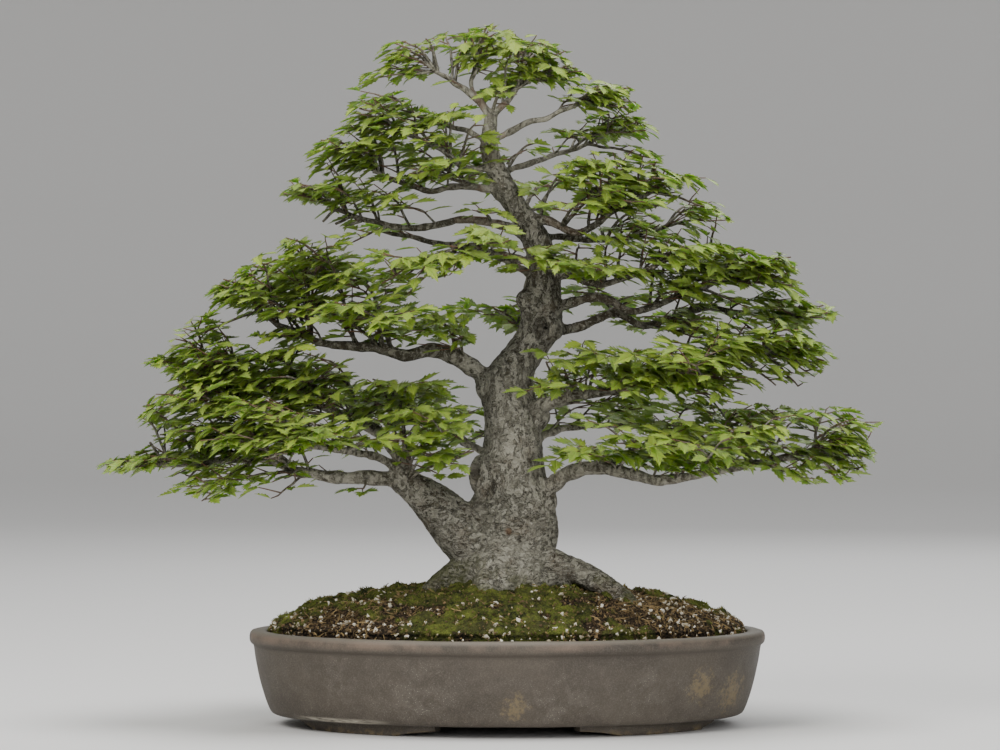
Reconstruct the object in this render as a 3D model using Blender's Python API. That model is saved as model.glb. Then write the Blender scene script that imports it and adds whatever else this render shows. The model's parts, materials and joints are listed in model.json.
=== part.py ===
"""Zelkova bonsai in an unglazed oval pot, at its real size. Metres, +Z up, the feet stand on Z = 0."""
import math
import random

import bmesh
import bpy
from mathutils import Matrix, Vector
from mathutils.bvhtree import BVHTree

MM = 0.001
CLEARANCE = 0.35 * MM

# The pot: half length and half depth of the rim, heights, and the insets of its rings from the rim
POT_CENTRE_X = 16 * MM
RIM_HALF_LENGTH = 210 * MM
RIM_HALF_DEPTH = 150 * MM
POT_HEIGHT = 77 * MM
FOOT_HEIGHT = 9 * MM
FLOOR_TOP = 17 * MM
LIP_HEIGHT = 11 * MM
RIM_WIDTH = 15 * MM
WALL_BATTER = 16.5 * MM
WALL_BELLY = (8.6 * MM, 36 * MM)
FLOOR_INSET = 34 * MM
POT_SEGMENTS = 26

# The four bracket feet: arcs of an oval ring set in from the rim
FOOT_INSET = 38 * MM
FOOT_INSET_AT_FRONT = 28 * MM
FOOT_WIDTH = 13 * MM
FRONT_GAP_HALF = 57 * MM
SIDE_GAP_HALF = 28 * MM
FOOT_STEPS = 6
SCALLOP_RISE = 4.5 * MM
SCALLOP_SHARE = 0.2

# The drain holes and the mesh plates that lie over them
DRAIN_RADIUS = 11 * MM
DRAIN_OFFSET = 85 * MM
MESH_SIDE = 32 * MM
MESH_THICKNESS = 1.5 * MM
MESH_BARS = 3
MESH_BAR_WIDTH = 3 * MM

# The soil: its edge lies just under the rim and it mounds up to the trunk
SOIL_EDGE_HEIGHT = 73 * MM
SOIL_MOUND = 44 * MM
SOIL_RING_SHARES = (1.0, 0.9, 0.56)

# The trunk: centre line and half width in mm, from the buried root base to the fork at the top
TRUNK_LINE = (
    (12, 0, 66, 30), (11, 0, 84, 46), (10, 0, 107, 51), (11, 0, 117, 48), (12, 0, 132, 43),
    (21, -1, 149, 36.5), (24, -2, 166, 32.5), (22, -3, 190, 28), (20, -4, 214, 25.5),
    (20.5, -3, 240, 23), (17, -1, 264, 22), (16, 0, 280, 21), (24, 2, 296, 19.5),
    (37, 3, 312, 18.5), (43.5, 1, 328, 17), (43, -2, 345, 16.5), (45, -3, 361, 14.5),
    (45, 0, 378, 12.5), (40, 2, 394, 12.3), (32, 1, 410, 11.7), (20, -2, 427, 11),
    (12, -4, 443, 10), (4, -8, 459, 8.5), (1.5, -11, 476, 6.4), (3, -14, 496, 5),
)
TRUNK_SIDES = 13
LOBE_ANGLES = (-18, 42, 118, 165, 205, 262, 312)
LOBE_WIDTH = 24
LOBE_DEPTH = 0.2
LOBE_TOP = 168

# Surface roots: route and radii in mm; each dips into the soil at its end
ROOTS = (
    (((38, -12, 140), (58, -22, 132), (76, -28, 124), (92, -34, 116), (106, -39, 107), (122, -44, 94)),
     (12, 9, 9.3, 9.6, 8.5, 6)),
    (((-14, -10, 124), (-34, -20, 115), (-52, -30, 105)), (17, 12, 7)),
    (((30, 20, 124), (46, 40, 114), (62, 62, 103)), (17, 11, 6)),
    (((-4, 18, 124), (-20, 40, 114), (-36, 60, 103)), (17, 11, 6)),
    (((4, -24, 122), (0, -42, 114), (-4, -60, 103)), (17, 12, 6)),
)

# The thick low limb on the left: route and radii in mm
LOW_LIMB = (((12, 0, 130), (-8, -4, 144), (-25, -6, 161), (-43, -8, 179), (-60, -8, 192), (-74, -10, 200)),
            (21, 22, 21, 17.5, 12.5, 8.5))

# Branches: name, radius at the base and at the tip in mm, route in mm, extra shoots from its tip,
# and side shoots. Each shoot is a tuple of the ends that its twigs reach.
BRANCHES = (
    ("low_left_out", 7, 2.4, ((-60, -8, 194), (-78, -15, 200), (-95, -20, 201), (-123, -30, 202),
                              (-151, -35, 206), (-171, -30, 214), (-196, -22, 217), (-230, -16, 214),
                              (-266, -12, 212)),
     ((-264, 6, 243),), (((-206, -78, 200), (-172, -146, 220)),)),
    ("low_left_up", 6.5, 2.2, ((-58, -8, 196), (-70, -5, 213), (-80, 2, 228), (-92, 12, 240),
                               (-113, 20, 249), (-146, 25, 262), (-179, 25, 270), (-232, 18, 281)),
     ((-246, -14, 313),), (((-204, 96, 284),), ((-120, 126, 262),), ((-68, -40, 250),),
      ((-218, -54, 256),))),
    ("low_left_front", 5, 2, ((-62, -10, 196), (-78, -26, 212), (-93, -42, 220), (-114, -70, 224),
                              (-138, -104, 229)), (), (((-78, -122, 236),),)),
    ("left_second", 8, 2.2, ((6, 0, 276), (-13, -4, 291), (-29, -8, 301), (-47, -12, 304),
                             (-67, -14, 301), (-87, -12, 306), (-112, -10, 308), (-140, -6, 312),
                             (-165, -2, 323), (-190, 0, 338)),
     (), (((-88, 36, 338), (-112, 48, 368)), ((-132, -82, 330), (-82, -104, 326)), ((-170, 84, 364),),
          ((-38, -54, 321),), ((-156, -16, 364),))),
    ("left_third", 4.5, 1.9, ((35, 4, 396), (10, -8, 407), (-22, -14, 410), (-51, -16, 404),
                              (-75, -14, 405), (-100, -10, 411), (-126, -5, 420)),
     (), (((-69, -92, 411),), ((-124, -12, 450),))),
    ("left_third_back", 4, 1.8, ((36, 6, 376), (6, 20, 385), (-27, 42, 391), (-56, 62, 397),
                                 (-88, 80, 405)), (), ()),
    ("left_fourth", 3.5, 1.7, ((16, 0, 434), (-6, -5, 437), (-30, -8, 437), (-51, -10, 435),
                               (-94, -10, 450)), (), (((-52, 54, 458), (-64, -62, 446)),)),
    ("left_fifth", 3, 1.5, ((4, -8, 452), (-16, -14, 452), (-29, -18, 460), (-42, -18, 469),
                            (-73, -16, 482)), ((-46, -56, 470),), ()),
    ("left_sixth", 2.8, 1.5, ((1, -11, 474), (-14, -2, 482), (-31, 15, 488), (-63, 28, 500)), (), ()),
    ("top_left", 4.2, 1.6, ((3, -14, 494), (-8, -16, 507), (-17, -18, 515), (-26, -20, 520),
                            (-35, -22, 527), (-44, -24, 532)), ((-42, 4, 538),), ()),
    ("top_middle", 2.6, 1.4, ((-8, -16, 508), (-13, -12, 519), (-10, -8, 532)), (), ()),
    ("top_right", 4, 1.5, ((3, -14, 494), (14, -10, 506), (22, -5, 515), (29, 0, 526)),
     ((50, -15, 524),), (((22, 48, 520),), ((16, -58, 514),))),
    ("right_sixth", 3.2, 1.6, ((2, -12, 474), (18, -14, 482), (31, -18, 489), (47, -20, 492),
                               (60, -20, 498), (78, -20, 505)), (), ()),
    ("right_fifth", 3, 1.6, ((12, -3, 450), (35, 12, 458), (53, 22, 465), (74, 32, 471),
                             (95, 40, 482)), (), ()),
    ("right_fourth", 4.5, 1.8, ((32, 0, 414), (51, -14, 409), (64, -24, 402), (76, -28, 400),
                                (91, -30, 409), (107, -30, 420), (136, -28, 434)),
     (), (((72, -78, 420), (100, -80, 430)),)),
    ("right_fourth_low", 3.2, 1.7, ((42, 5, 398), (72, 10, 396), (96, 12, 395), (125, 15, 400),
                                    (150, 18, 408)), (), (((127, 80, 420),),)),
    ("right_third_front", 4.2, 1.9, ((46, -2, 366), (67, -16, 366), (81, -32, 360), (95, -44, 358),
                                     (114, -58, 364), (136, -66, 371)), (), (((80, -84, 371),),)),
    ("right_third", 4.8, 2, ((46, -3, 340), (69, -12, 343), (85, -16, 348), (99, -18, 345),
                             (116, -18, 336), (136, -18, 341), (160, -16, 350), (194, -12, 362)),
     ((190, 32, 376),), ()),
    ("right_third_low", 4.6, 2, ((44, 0, 320), (74, 6, 323), (90, 10, 330), (107, 14, 334),
                                 (129, 18, 325), (148, 24, 330), (180, 34, 340), (230, 42, 332)),
     (), (((176, 104, 322),), ((118, 116, 341),))),
    ("right_second", 6, 2.1, ((24, -4, 252), (43, -16, 259), (60, -28, 265), (79, -40, 269),
                              (103, -46, 272), (127, -48, 275), (155, -45, 281), (183, -40, 292),
                              (226, -36, 304)),
     (), (((172, -122, 284),), ((92, -124, 276),), ((62, -64, 284),))),
    ("right_second_back", 4, 2, ((24, 10, 246), (60, 70, 260), (104, 110, 270)), (), ()),
    ("low_right", 7.5, 2.3, ((30, -4, 182), (43, -8, 189), (56, -18, 198), (70, -30, 207),
                             (91, -40, 210), (118, -50, 204), (138, -54, 200), (170, -52, 205),
                             (203, -45, 211), (234, -38, 217), (266, -31, 222)),
     ((276, 4, 254),), (((216, -104, 240), (172, -150, 220)), ((124, -132, 228), (78, -100, 225)),
                         ((196, 68, 248),))),
    ("front_key", 4, 1.9, ((40, -6, 362), (22, -26, 373), (8, -44, 380), (-6, -58, 385),
                           (-22, -72, 388)), ((14, -96, 389),), ()),
    ("back_low_left", 4.6, 2, ((16, 8, 214), (-15, 62, 226), (-38, 98, 238), (-58, 118, 250)), (), ()),
    ("back_low_right", 4.6, 2, ((28, 8, 222), (56, 72, 238), (95, 106, 242), (126, 124, 240)), (), ()),
    ("back_middle", 4, 1.9, ((38, 8, 308), (27, 66, 324), (12, 112, 336)), (), ()),
    ("back_high", 3.4, 1.8, ((32, 4, 410), (32, 50, 424), (36, 84, 436)), (), ()),
)

# Leaves: a blade with two teeth a side and a long tip, whose edge is given from its base to its tip as
# shares of its length and half width. Spread and pitch are radians from the twig and from level.
LEAF_LENGTH = (25 * MM, 31 * MM)
LEAF_WIDTH_SHARE = 0.48
LEAF_THICKNESS = 0.8 * MM
LEAF_EDGE = ((0.34, 1.0), (0.47, 0.66), (0.63, 0.70))
RIB_SHARE = 0.42
LEAF_SPACING = 16.5 * MM
LEAF_BASE_WIDTH = 1.6 * MM
LEAF_SPREAD = 0.95
LEAF_PITCH = (0.0, 0.55)

# Twigs: the first of a shoot runs from the wood to a knee, where the others leave it. Each is tried with
# these arches in mm, and with its base this much further out of the wood in mm, until it crosses nothing.
TWIG_BASE_RADIUS = 1.3 * MM
TWIG_TIP_RADIUS = 0.9 * MM
TWIG_BARE_LENGTH = 7 * MM
TIP_INTERNODE = 6 * MM
TWIG_STEPS = 2
TWIG_TRIES = ((5, 0), (9, 0), (1, 0), (5, 0.3), (14, 0.3), (-4, 0.3), (20, 0.5), (-9, 0.5))
KNEE = 5 * MM
SIDE_TWIG_SINK = 1.5 * MM

# Shoots: a branch's tip opens in a fan of turn in degrees and reach, and a lone side twig gets a companion
TIP_FAN = ((24, 34 * MM), (-30, 30 * MM))
LEAFY_LENGTH = 41 * MM
COMPANION_TURN = 36
COMPANION_SHARE = 0.82
PLACING_TRIES = 14
SEED = 1807


def clear_scene():
    for item in list(bpy.data.objects):
        bpy.data.objects.remove(item, do_unlink=True)


def material(name, colour, roughness, metallic=0.0):
    made = bpy.data.materials.new(name)
    made.use_nodes = True
    shader = made.node_tree.nodes["Principled BSDF"]
    shader.inputs["Base Color"].default_value = (*colour, 1.0)
    shader.inputs["Roughness"].default_value = roughness
    shader.inputs["Metallic"].default_value = metallic
    return made


def new_object(name, bm, finish=None):
    """Puts a bmesh in the scene as an object, its faces pointing outwards."""
    bmesh.ops.recalc_face_normals(bm, faces=bm.faces)
    mesh = bpy.data.meshes.new(name)
    bm.to_mesh(mesh)
    bm.free()
    made = bpy.data.objects.new(name, mesh)
    bpy.context.scene.collection.objects.link(made)
    if finish:
        mesh.materials.append(finish)
    return made


def apply_modifiers(item):
    """Replaces an object's mesh with the one its modifiers give."""
    evaluated = item.evaluated_get(bpy.context.evaluated_depsgraph_get())
    mesh = bpy.data.meshes.new_from_object(evaluated)
    item.modifiers.clear()
    item.data = mesh


def combine(target, others, operation, solver="MANIFOLD"):
    """One Boolean of a collection of objects on the target, applied, with the others removed."""
    group = bpy.data.collections.new(target.name + "_group")
    bpy.context.scene.collection.children.link(group)
    for other in others:
        bpy.context.scene.collection.objects.unlink(other)
        group.objects.link(other)
    boolean = target.modifiers.new("combine", "BOOLEAN")
    boolean.operand_type = "COLLECTION"
    boolean.collection = group
    boolean.operation = operation
    boolean.solver = solver
    apply_modifiers(target)
    for other in others:
        bpy.data.objects.remove(other, do_unlink=True)
    bpy.data.collections.remove(group)


def loft(rings):
    """A closed bmesh through rings of points, each with the same count, with flat end caps."""
    bm = bmesh.new()
    rows = [[bm.verts.new(point) for point in ring] for ring in rings]
    count = len(rows[0])
    for low, high in zip(rows, rows[1:]):
        for i in range(count):
            j = (i + 1) % count
            bm.faces.new((low[i], low[j], high[j], high[i]))
    bm.faces.new(rows[0])
    bm.faces.new(rows[-1])
    return bm


def oval_ring(half_length, half_depth, height, segments):
    ring = []
    for i in range(segments):
        angle = math.tau * i / segments
        ring.append(Vector((POT_CENTRE_X + half_length * math.cos(angle), half_depth * math.sin(angle),
                            height)))
    return ring


def pot_ring(inset, height):
    return oval_ring(RIM_HALF_LENGTH - inset, RIM_HALF_DEPTH - inset, height, POT_SEGMENTS)


def pot_body():
    """The turned oval bowl: up the outside, over the rounded lip, and down the inside to the floor."""
    lip_base = POT_HEIGHT - LIP_HEIGHT
    outside = (
        (WALL_BATTER + 5.5 * MM, FOOT_HEIGHT), (WALL_BATTER, FOOT_HEIGHT + 3.5 * MM), WALL_BELLY,
        (3.3 * MM, lip_base - 1 * MM), (0.9 * MM, lip_base), (0, lip_base + 2.5 * MM),
        (0, POT_HEIGHT - 3 * MM), (2.5 * MM, POT_HEIGHT),
    )
    inside = (
        (RIM_WIDTH - 2 * MM, POT_HEIGHT), (RIM_WIDTH, POT_HEIGHT - 2 * MM),
        (RIM_WIDTH + 0.5 * MM, lip_base), (FLOOR_INSET - 6 * MM, FLOOR_TOP + 6 * MM),
        (FLOOR_INSET, FLOOR_TOP),
    )
    return loft([pot_ring(inset, height) for inset, height in outside + inside])


def foot_drop(share):
    """Height of a foot's underside along its length, from 0 to 1: flat, with a raised scroll at each end."""
    from_end = min(share, 1 - share)
    if from_end >= SCALLOP_SHARE:
        return 0.0
    return SCALLOP_RISE * (1 - from_end / SCALLOP_SHARE) ** 0.6


def foot(side_x, side_y):
    """One bracket foot, an arc between the front gap and the side gap."""
    outer = (RIM_HALF_LENGTH - FOOT_INSET, RIM_HALF_DEPTH - FOOT_INSET_AT_FRONT)
    inner = (outer[0] - FOOT_WIDTH, outer[1] - FOOT_WIDTH)
    start = math.asin(SIDE_GAP_HALF / outer[1])
    end = math.acos(FRONT_GAP_HALF / outer[0])
    rings = []
    for step in range(FOOT_STEPS + 1):
        share = step / FOOT_STEPS
        angle = start + (end - start) * share
        drop = foot_drop(share)
        ring = []
        for axes, height in ((outer, drop), (outer, FOOT_HEIGHT + 2 * MM),
                             (inner, FOOT_HEIGHT + 2 * MM), (inner, drop)):
            ring.append(Vector((POT_CENTRE_X + side_x * axes[0] * math.cos(angle),
                                side_y * axes[1] * math.sin(angle), height)))
        rings.append(ring)
    return new_object("foot", loft(rings))


def cylinder(name, radius, low, high, x, segments=12):
    rings = [[Vector((x + radius * math.cos(math.tau * i / segments),
                      radius * math.sin(math.tau * i / segments), z)) for i in range(segments)]
             for z in (low, high)]
    return new_object(name, loft(rings))


def box(name, low, high):
    bm = bmesh.new()
    bmesh.ops.create_cube(bm, size=1)
    for vert in bm.verts:
        vert.co = Vector([low[k] if vert.co[k] < 0 else high[k] for k in range(3)])
    return new_object(name, bm)


def make_pot(finish):
    pot = new_object("pot", pot_body(), finish)
    feet = [foot(side_x, side_y) for side_x in (-1, 1) for side_y in (-1, 1)]
    combine(pot, feet, "UNION")
    holes = [cylinder("drain", DRAIN_RADIUS, FOOT_HEIGHT - 5 * MM, FLOOR_TOP + 5 * MM,
                      POT_CENTRE_X + side * DRAIN_OFFSET) for side in (-1, 1)]
    combine(pot, holes, "DIFFERENCE")
    return pot


def make_drain_mesh(name, side, finish):
    """A square plastic grid that keeps the soil off a drain hole."""
    x = POT_CENTRE_X + side * DRAIN_OFFSET
    low = FLOOR_TOP + CLEARANCE
    half = MESH_SIDE / 2
    plate = box(name, (x - half, -half, low), (x + half, half, low + MESH_THICKNESS))
    plate.data.materials.append(finish)
    pitch = (MESH_SIDE - MESH_BAR_WIDTH) / MESH_BARS
    windows = []
    for row in range(MESH_BARS):
        for column in range(MESH_BARS):
            left = x - half + MESH_BAR_WIDTH + column * pitch
            front = -half + MESH_BAR_WIDTH + row * pitch
            windows.append(box("window", (left, front, low - 1 * MM),
                               (left + pitch - MESH_BAR_WIDTH, front + pitch - MESH_BAR_WIDTH,
                                low + MESH_THICKNESS + 1 * MM)))
    combine(plate, windows, "DIFFERENCE")
    return plate


def soil_height(share):
    """Height of the mound where share is 0 at the middle and 1 at the pot's wall."""
    return SOIL_EDGE_HEIGHT + SOIL_MOUND * max(0.0, 1 - share * share) ** 0.5


def make_soil(root_cutters, finish):
    """The soil fills the pot and mounds up round the trunk, with a plain hole for the roots."""
    lip_base = POT_HEIGHT - LIP_HEIGHT
    gap = CLEARANCE
    rings = []
    for inset, height in ((FLOOR_INSET + gap, FLOOR_TOP + gap),
                          (FLOOR_INSET - 6 * MM + gap, FLOOR_TOP + 6 * MM + gap),
                          (RIM_WIDTH + 0.5 * MM + gap, lip_base)):
        rings.append(oval_ring(RIM_HALF_LENGTH - inset - gap, RIM_HALF_DEPTH - inset - gap, height,
                               POT_SEGMENTS))
    for share in SOIL_RING_SHARES:
        rings.append(oval_ring((RIM_HALF_LENGTH - RIM_WIDTH - 3 * gap) * share,
                               (RIM_HALF_DEPTH - RIM_WIDTH - 3 * gap) * share, soil_height(share),
                               POT_SEGMENTS))
    soil = new_object("soil", loft(rings), finish)
    half = MESH_SIDE / 2 + CLEARANCE
    recesses = []
    for side in (-1, 1):
        x = POT_CENTRE_X + side * DRAIN_OFFSET
        recesses.append(box("recess", (x - half, -half, FLOOR_TOP - 2 * MM),
                            (x + half, half, FLOOR_TOP + MESH_THICKNESS + 2 * CLEARANCE)))
    combine(soil, recesses + root_cutters, "DIFFERENCE")
    return soil


def frames_along(points):
    """For each point of a route: the mean direction and two axes square to it, with no twist."""
    frames = []
    across = None
    for i, point in enumerate(points):
        before = points[max(i - 1, 0)]
        after = points[min(i + 1, len(points) - 1)]
        along = (after - before).normalized()
        if across is None:
            across = along.orthogonal()
        across = (across - along * across.dot(along)).normalized()
        frames.append((along, across, along.cross(across)))
    return frames


def tube(points, radii, sides):
    """A closed tube of the given radius at each point."""
    rings = []
    for point, radius, (_, across, upright) in zip(points, radii, frames_along(points)):
        rings.append([point + (across * math.cos(math.tau * i / sides)
                               + upright * math.sin(math.tau * i / sides)) * radius
                      for i in range(sides)])
    return loft(rings)


def lobe_share(angle):
    """How far a root flare stands out at this angle in degrees, from 0 to 1."""
    nearest = min(abs((angle - lobe + 180) % 360 - 180) for lobe in LOBE_ANGLES)
    return math.exp(-(nearest / LOBE_WIDTH) ** 2)


def trunk_body(grow):
    """The trunk as a loft of level rings, its base lobed by the root flares."""
    rings = []
    for x, y, z, half_width in TRUNK_LINE:
        depth = LOBE_DEPTH * min(1.0, max(0.0, (LOBE_TOP - z) / 60))
        ring = []
        for i in range(TRUNK_SIDES):
            angle = math.tau * i / TRUNK_SIDES
            radius = half_width * MM * (1 - depth * (1 - lobe_share(math.degrees(angle)))) + grow
            ring.append(Vector((x * MM + radius * math.cos(angle), y * MM + radius * math.sin(angle),
                                z * MM - (grow if z == TRUNK_LINE[0][2] else 0))))
        rings.append(ring)
    return loft(rings)


def route(points):
    return [Vector(point) * MM for point in points]


def root_tube(points, radii, grow):
    path = route(points)
    if grow:
        path[-1] += (path[-1] - path[-2]).normalized() * grow
    return tube(path, [radius * MM + grow for radius in radii], 7)


def branch_radii(points, base, tip):
    """Radii in metres that narrow quickly near the base and slowly near the tip."""
    lengths = [0.0]
    for before, after in zip(points, points[1:]):
        lengths.append(lengths[-1] + (after - before).length)
    return [(tip + (base - tip) * (1 - length / lengths[-1]) ** 1.4) * MM for length in lengths]


def make_wood(finish):
    """Trunk, surface roots and branches grown together as one body."""
    wood = new_object("tree_wood", trunk_body(0.0), finish)
    limbs = [new_object("root", root_tube(points, radii, 0.0)) for points, radii in ROOTS]
    limb_points, limb_radii = LOW_LIMB
    limbs.append(new_object("low_limb", tube(route(limb_points), [radius * MM for radius in limb_radii], 10)))
    for name, base, tip, points, _, _ in BRANCHES:
        path = route(points)
        sides = 6 if base > 6.2 else 5 if base > 4.1 else 4
        limbs.append(new_object(name, tube(path, branch_radii(path, base, tip), sides)))
    combine(wood, limbs, "UNION")
    return wood


def root_cutters():
    cutters = [new_object("cutter", trunk_body(CLEARANCE))]
    for points, radii in ROOTS:
        cutters.append(new_object("cutter", root_tube(points, radii, CLEARANCE)))
    return cutters


def shoots():
    """Every leafy shoot: where its twigs leave the wood, and the end that each twig reaches."""
    found = []
    for _, _, _, points, tip_ends, side_shoots in BRANCHES:
        path = route(points)
        along = (path[-1] - path[-2]).normalized()
        ends = []
        for turn, reach in TIP_FAN:
            flat = Matrix.Rotation(math.radians(turn), 3, "Z") @ along
            ends.append(path[-1] + (flat + Vector((0, 0, 0.12))).normalized() * reach)
        found.append((path[-1] - along * 4 * MM, along, ends + route(tip_ends)))
        for number, side_ends in enumerate(side_shoots):
            targets = route(side_ends)
            anchor = side_anchor(path, targets[0])
            reach = targets[0] - anchor
            turn = math.radians(COMPANION_TURN) * (-1) ** number
            if len(targets) == 1:
                targets.append(anchor + Matrix.Rotation(turn, 3, "Z") @ reach * COMPANION_SHARE)
            found.append((anchor, reach.normalized(), targets))
    return found


def side_anchor(path, target):
    """The place on a branch where a side twig leaves it, a little nearer the trunk than the target."""
    best = None
    for before, after in zip(path, path[1:]):
        for step in range(6):
            point = before.lerp(after, step / 6)
            leaving = (target - point).normalized()
            along = (after - before).normalized()
            distance = (target - point).length
            cost = distance + 60 * MM * abs(leaving.dot(along) - 0.55)
            if best is None or cost < best[0]:
                best = (cost, point)
    return best[1]


def arc(start, end, rise):
    """A run of points from start to end that arches up by the rise."""
    points = []
    for step in range(TWIG_STEPS + 1):
        share = step / TWIG_STEPS
        points.append(start.lerp(end, share) + Vector((0, 0, rise * math.sin(math.pi * share))))
    return points


def twig_ring_clear(path, wood_tree):
    """Whether the whole base of a twig stands just outside the wood."""
    for corner in [path[0]] + twig_ring(path, 0.0):
        near, normal, _, distance = wood_tree.find_nearest(corner)
        if (corner - near).dot(normal) <= 0 or distance < CLEARANCE:
            return False
    return True


def leave_wood(anchor, heading, wood_tree):
    """Moves a twig's base out along its heading until it stands just clear of the wood."""
    for step in range(200):
        start = anchor + heading * step * 0.2 * MM
        if twig_ring_clear([start, start + heading * KNEE], wood_tree):
            return start
    raise ValueError("a twig never leaves the wood")


def twig_path(start, heading, end, rise, side_twig):
    """A twig's route: the first of a shoot runs from the wood, the others leave its knee."""
    knee = start + heading * KNEE
    if side_twig:
        return arc(knee - heading * SIDE_TWIG_SINK, end, rise)
    return [start] + arc(knee, end, rise)


def path_length(path):
    return sum((after - before).length for before, after in zip(path, path[1:]))


def point_at(path, distance):
    """The point at this distance along a path, and the direction there."""
    left = distance
    for before, after in zip(path, path[1:]):
        length = (after - before).length
        if left <= length:
            return before.lerp(after, left / length), (after - before).normalized()
        left -= length
    return path[-1], (path[-1] - path[-2]).normalized()


def twig_ring(path, distance):
    """Three points round a twig: its left edge, its right edge and the ridge on top."""
    centre, along = point_at(path, distance)
    share = distance / path_length(path)
    radius = TWIG_BASE_RADIUS + (TWIG_TIP_RADIUS - TWIG_BASE_RADIUS) * share
    left = Vector((0, 0, 1)).cross(along).normalized()
    upright = along.cross(left)
    low = centre - upright * radius * 0.5
    return [low + left * radius, low - left * radius, centre + upright * radius]


def blade_points(root, heading, roll, length, fold, droop):
    """A blade's outline down its left side and up its right, its tip, and its rib above and below."""
    across = Vector((0, 0, 1)).cross(heading).normalized()
    turn = Matrix.Rotation(roll, 3, heading)
    across = turn @ across
    normal = heading.cross(across)
    half_width = length * LEAF_WIDTH_SHARE / 2

    def place(share, width_share, side):
        height = half_width * width_share * fold - droop * length * share * share
        return root + heading * length * share + across * side * half_width * width_share + normal * height

    left = [place(share, width, 1) for share, width in LEAF_EDGE]
    right = [place(share, width, -1) for share, width in LEAF_EDGE]
    tip = place(1.0, 0.0, 1)
    rib = place(RIB_SHARE, 0.0, 1)
    return left, right, tip, rib + normal * LEAF_THICKNESS / 2, rib - normal * LEAF_THICKNESS / 2


def fan(apex, rim):
    """Triangles from an apex to each edge of a closed rim."""
    return [(rim[i], rim[(i + 1) % len(rim)], apex) for i in range(len(rim))]


def shares_no_crossing(points, faces, others):
    """Whether no two faces cross, apart from neighbours that share a point."""
    tree = BVHTree.FromPolygons(points, faces)
    other_tree = BVHTree.FromPolygons(points, others)
    for own, other in tree.overlap(other_tree):
        if not set(faces[own]) & set(others[other]):
            return False
    return True


def leaf_slots(path, rng):
    """Leaf places as distances along a twig and sides of it, alternating from the tip back."""
    length = path_length(path)
    first = max(length - LEAFY_LENGTH, TWIG_BARE_LENGTH)
    distance = length - TIP_INTERNODE
    side = rng.choice((-1, 1))
    slots = []
    while distance > first:
        slots.insert(0, (distance, side))
        distance -= LEAF_SPACING * rng.uniform(0.85, 1.15)
        side = -side
    return slots


def stem_faces(low, high, open_side=0):
    """The stem's faces between two rings, apart from those that open into a blade on one side."""
    faces = []
    if open_side != 1:
        faces.append((low, high, high + 2, low + 2))
    if open_side != -1:
        faces.append((low + 1, high + 1, high + 2, low + 2))
    if open_side == 0:
        faces.append((low, high, high + 1, low + 1))
    return faces


class Frond:
    """One twig with its leaves: a three-sided stem whose faces open into the blades."""

    def __init__(self, path, bends):
        self.path = path
        self.bends = bends
        self.points = []
        self.faces = []
        self.stem = []

    def add_ring(self, distance):
        self.points += twig_ring(self.path, distance)
        return len(self.points) - 3

    def grow(self, placed, own_twigs, rng):
        """Builds the stem from base to tip, then each leaf, bent clear of what stands already."""
        slots = leaf_slots(self.path, rng)
        stops = [(bend, 0) for bend in self.bends] + slots
        spans = []
        before = self.add_ring(0.0)
        for distance, side in sorted(stops) + [(path_length(self.path), 0)]:
            low = self.add_ring(distance)
            spans.append((before, low, 0))
            before = low
            if side:
                before = self.add_ring(distance + LEAF_BASE_WIDTH)
                spans.append((low, before, side))
        self.stem = [face for low, high, _ in spans for face in stem_faces(low, high)]
        self.faces.append((0, 1, 2))
        for low, high, side in spans:
            grown = side and self.add_blade(low, high, side, placed, own_twigs, rng)
            self.faces += stem_faces(low, high, side if grown else 0)
        if not self.add_blade(before, before, 0, placed, own_twigs, rng):
            self.faces.append((before, before + 1, before + 2))

    def add_blade(self, low, high, side, placed, own_twigs, rng):
        """Tries headings until a blade crosses nothing that stands already, or gives it up."""
        length = rng.uniform(*LEAF_LENGTH)
        near = 1 if side < 0 else 0
        root = (self.points[low + near] + self.points[high + near]) / 2
        along = (self.points[high] - self.points[low]).normalized()
        if not side:
            root = (self.points[low] + self.points[low + 1]) / 2
            along = (self.path[-1] - self.path[-2]).normalized()
        for attempt in range(PLACING_TRIES):
            loosen = 0.3 + 0.7 * attempt / PLACING_TRIES
            spread = side * (LEAF_SPREAD + rng.uniform(-0.15, 0.4) * loosen)
            if not side:
                spread = rng.uniform(-0.4, 0.4) * loosen
            heading = Matrix.Rotation(spread, 3, "Z") @ along
            heading.z = heading.z * 0.5 - math.tan(rng.uniform(*LEAF_PITCH))
            left, right, tip, above, below = blade_points(
                root, heading.normalized(), rng.uniform(-0.6, 0.6) * loosen, length,
                rng.uniform(0.1, 0.35), rng.uniform(0.05, 0.22))
            rear, front = (right, left) if side < 0 else (left, right)
            if self.fit_blade(low, high, side, rear + [tip] + front[::-1], (above, below), placed, own_twigs):
                return True
        return False

    def fit_blade(self, low, high, side, outline, rib, placed, own_twigs):
        """Joins a blade to the stem's opening, unless it would cross something."""
        base = len(self.points)
        inner = list(range(base, base + len(outline)))
        above, below = base + len(outline), base + len(outline) + 1
        near, far = (1, 0) if side < 0 else (0, 1)
        if side:
            rim = [low + near] + inner + [high + near]
            faces = fan(above, rim + [high + 2, low + 2]) + fan(below, rim + [high + far, low + far])
        else:
            rim = [low] + inner + [low + 1]
            faces = fan(above, rim + [low + 2]) + fan(below, rim)
        points = self.points + outline + list(rib)
        used = sorted({i for face in faces for i in face})
        place = {index: number for number, index in enumerate(used)}
        own = [points[i] for i in used], [tuple(place[i] for i in face) for face in faces]
        if placed.hits(*own, own_twigs) or not shares_no_crossing(points, faces, self.stem + faces):
            return False
        self.points = points
        self.faces += faces
        placed.add(*own, "leaves")
        return True


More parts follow.
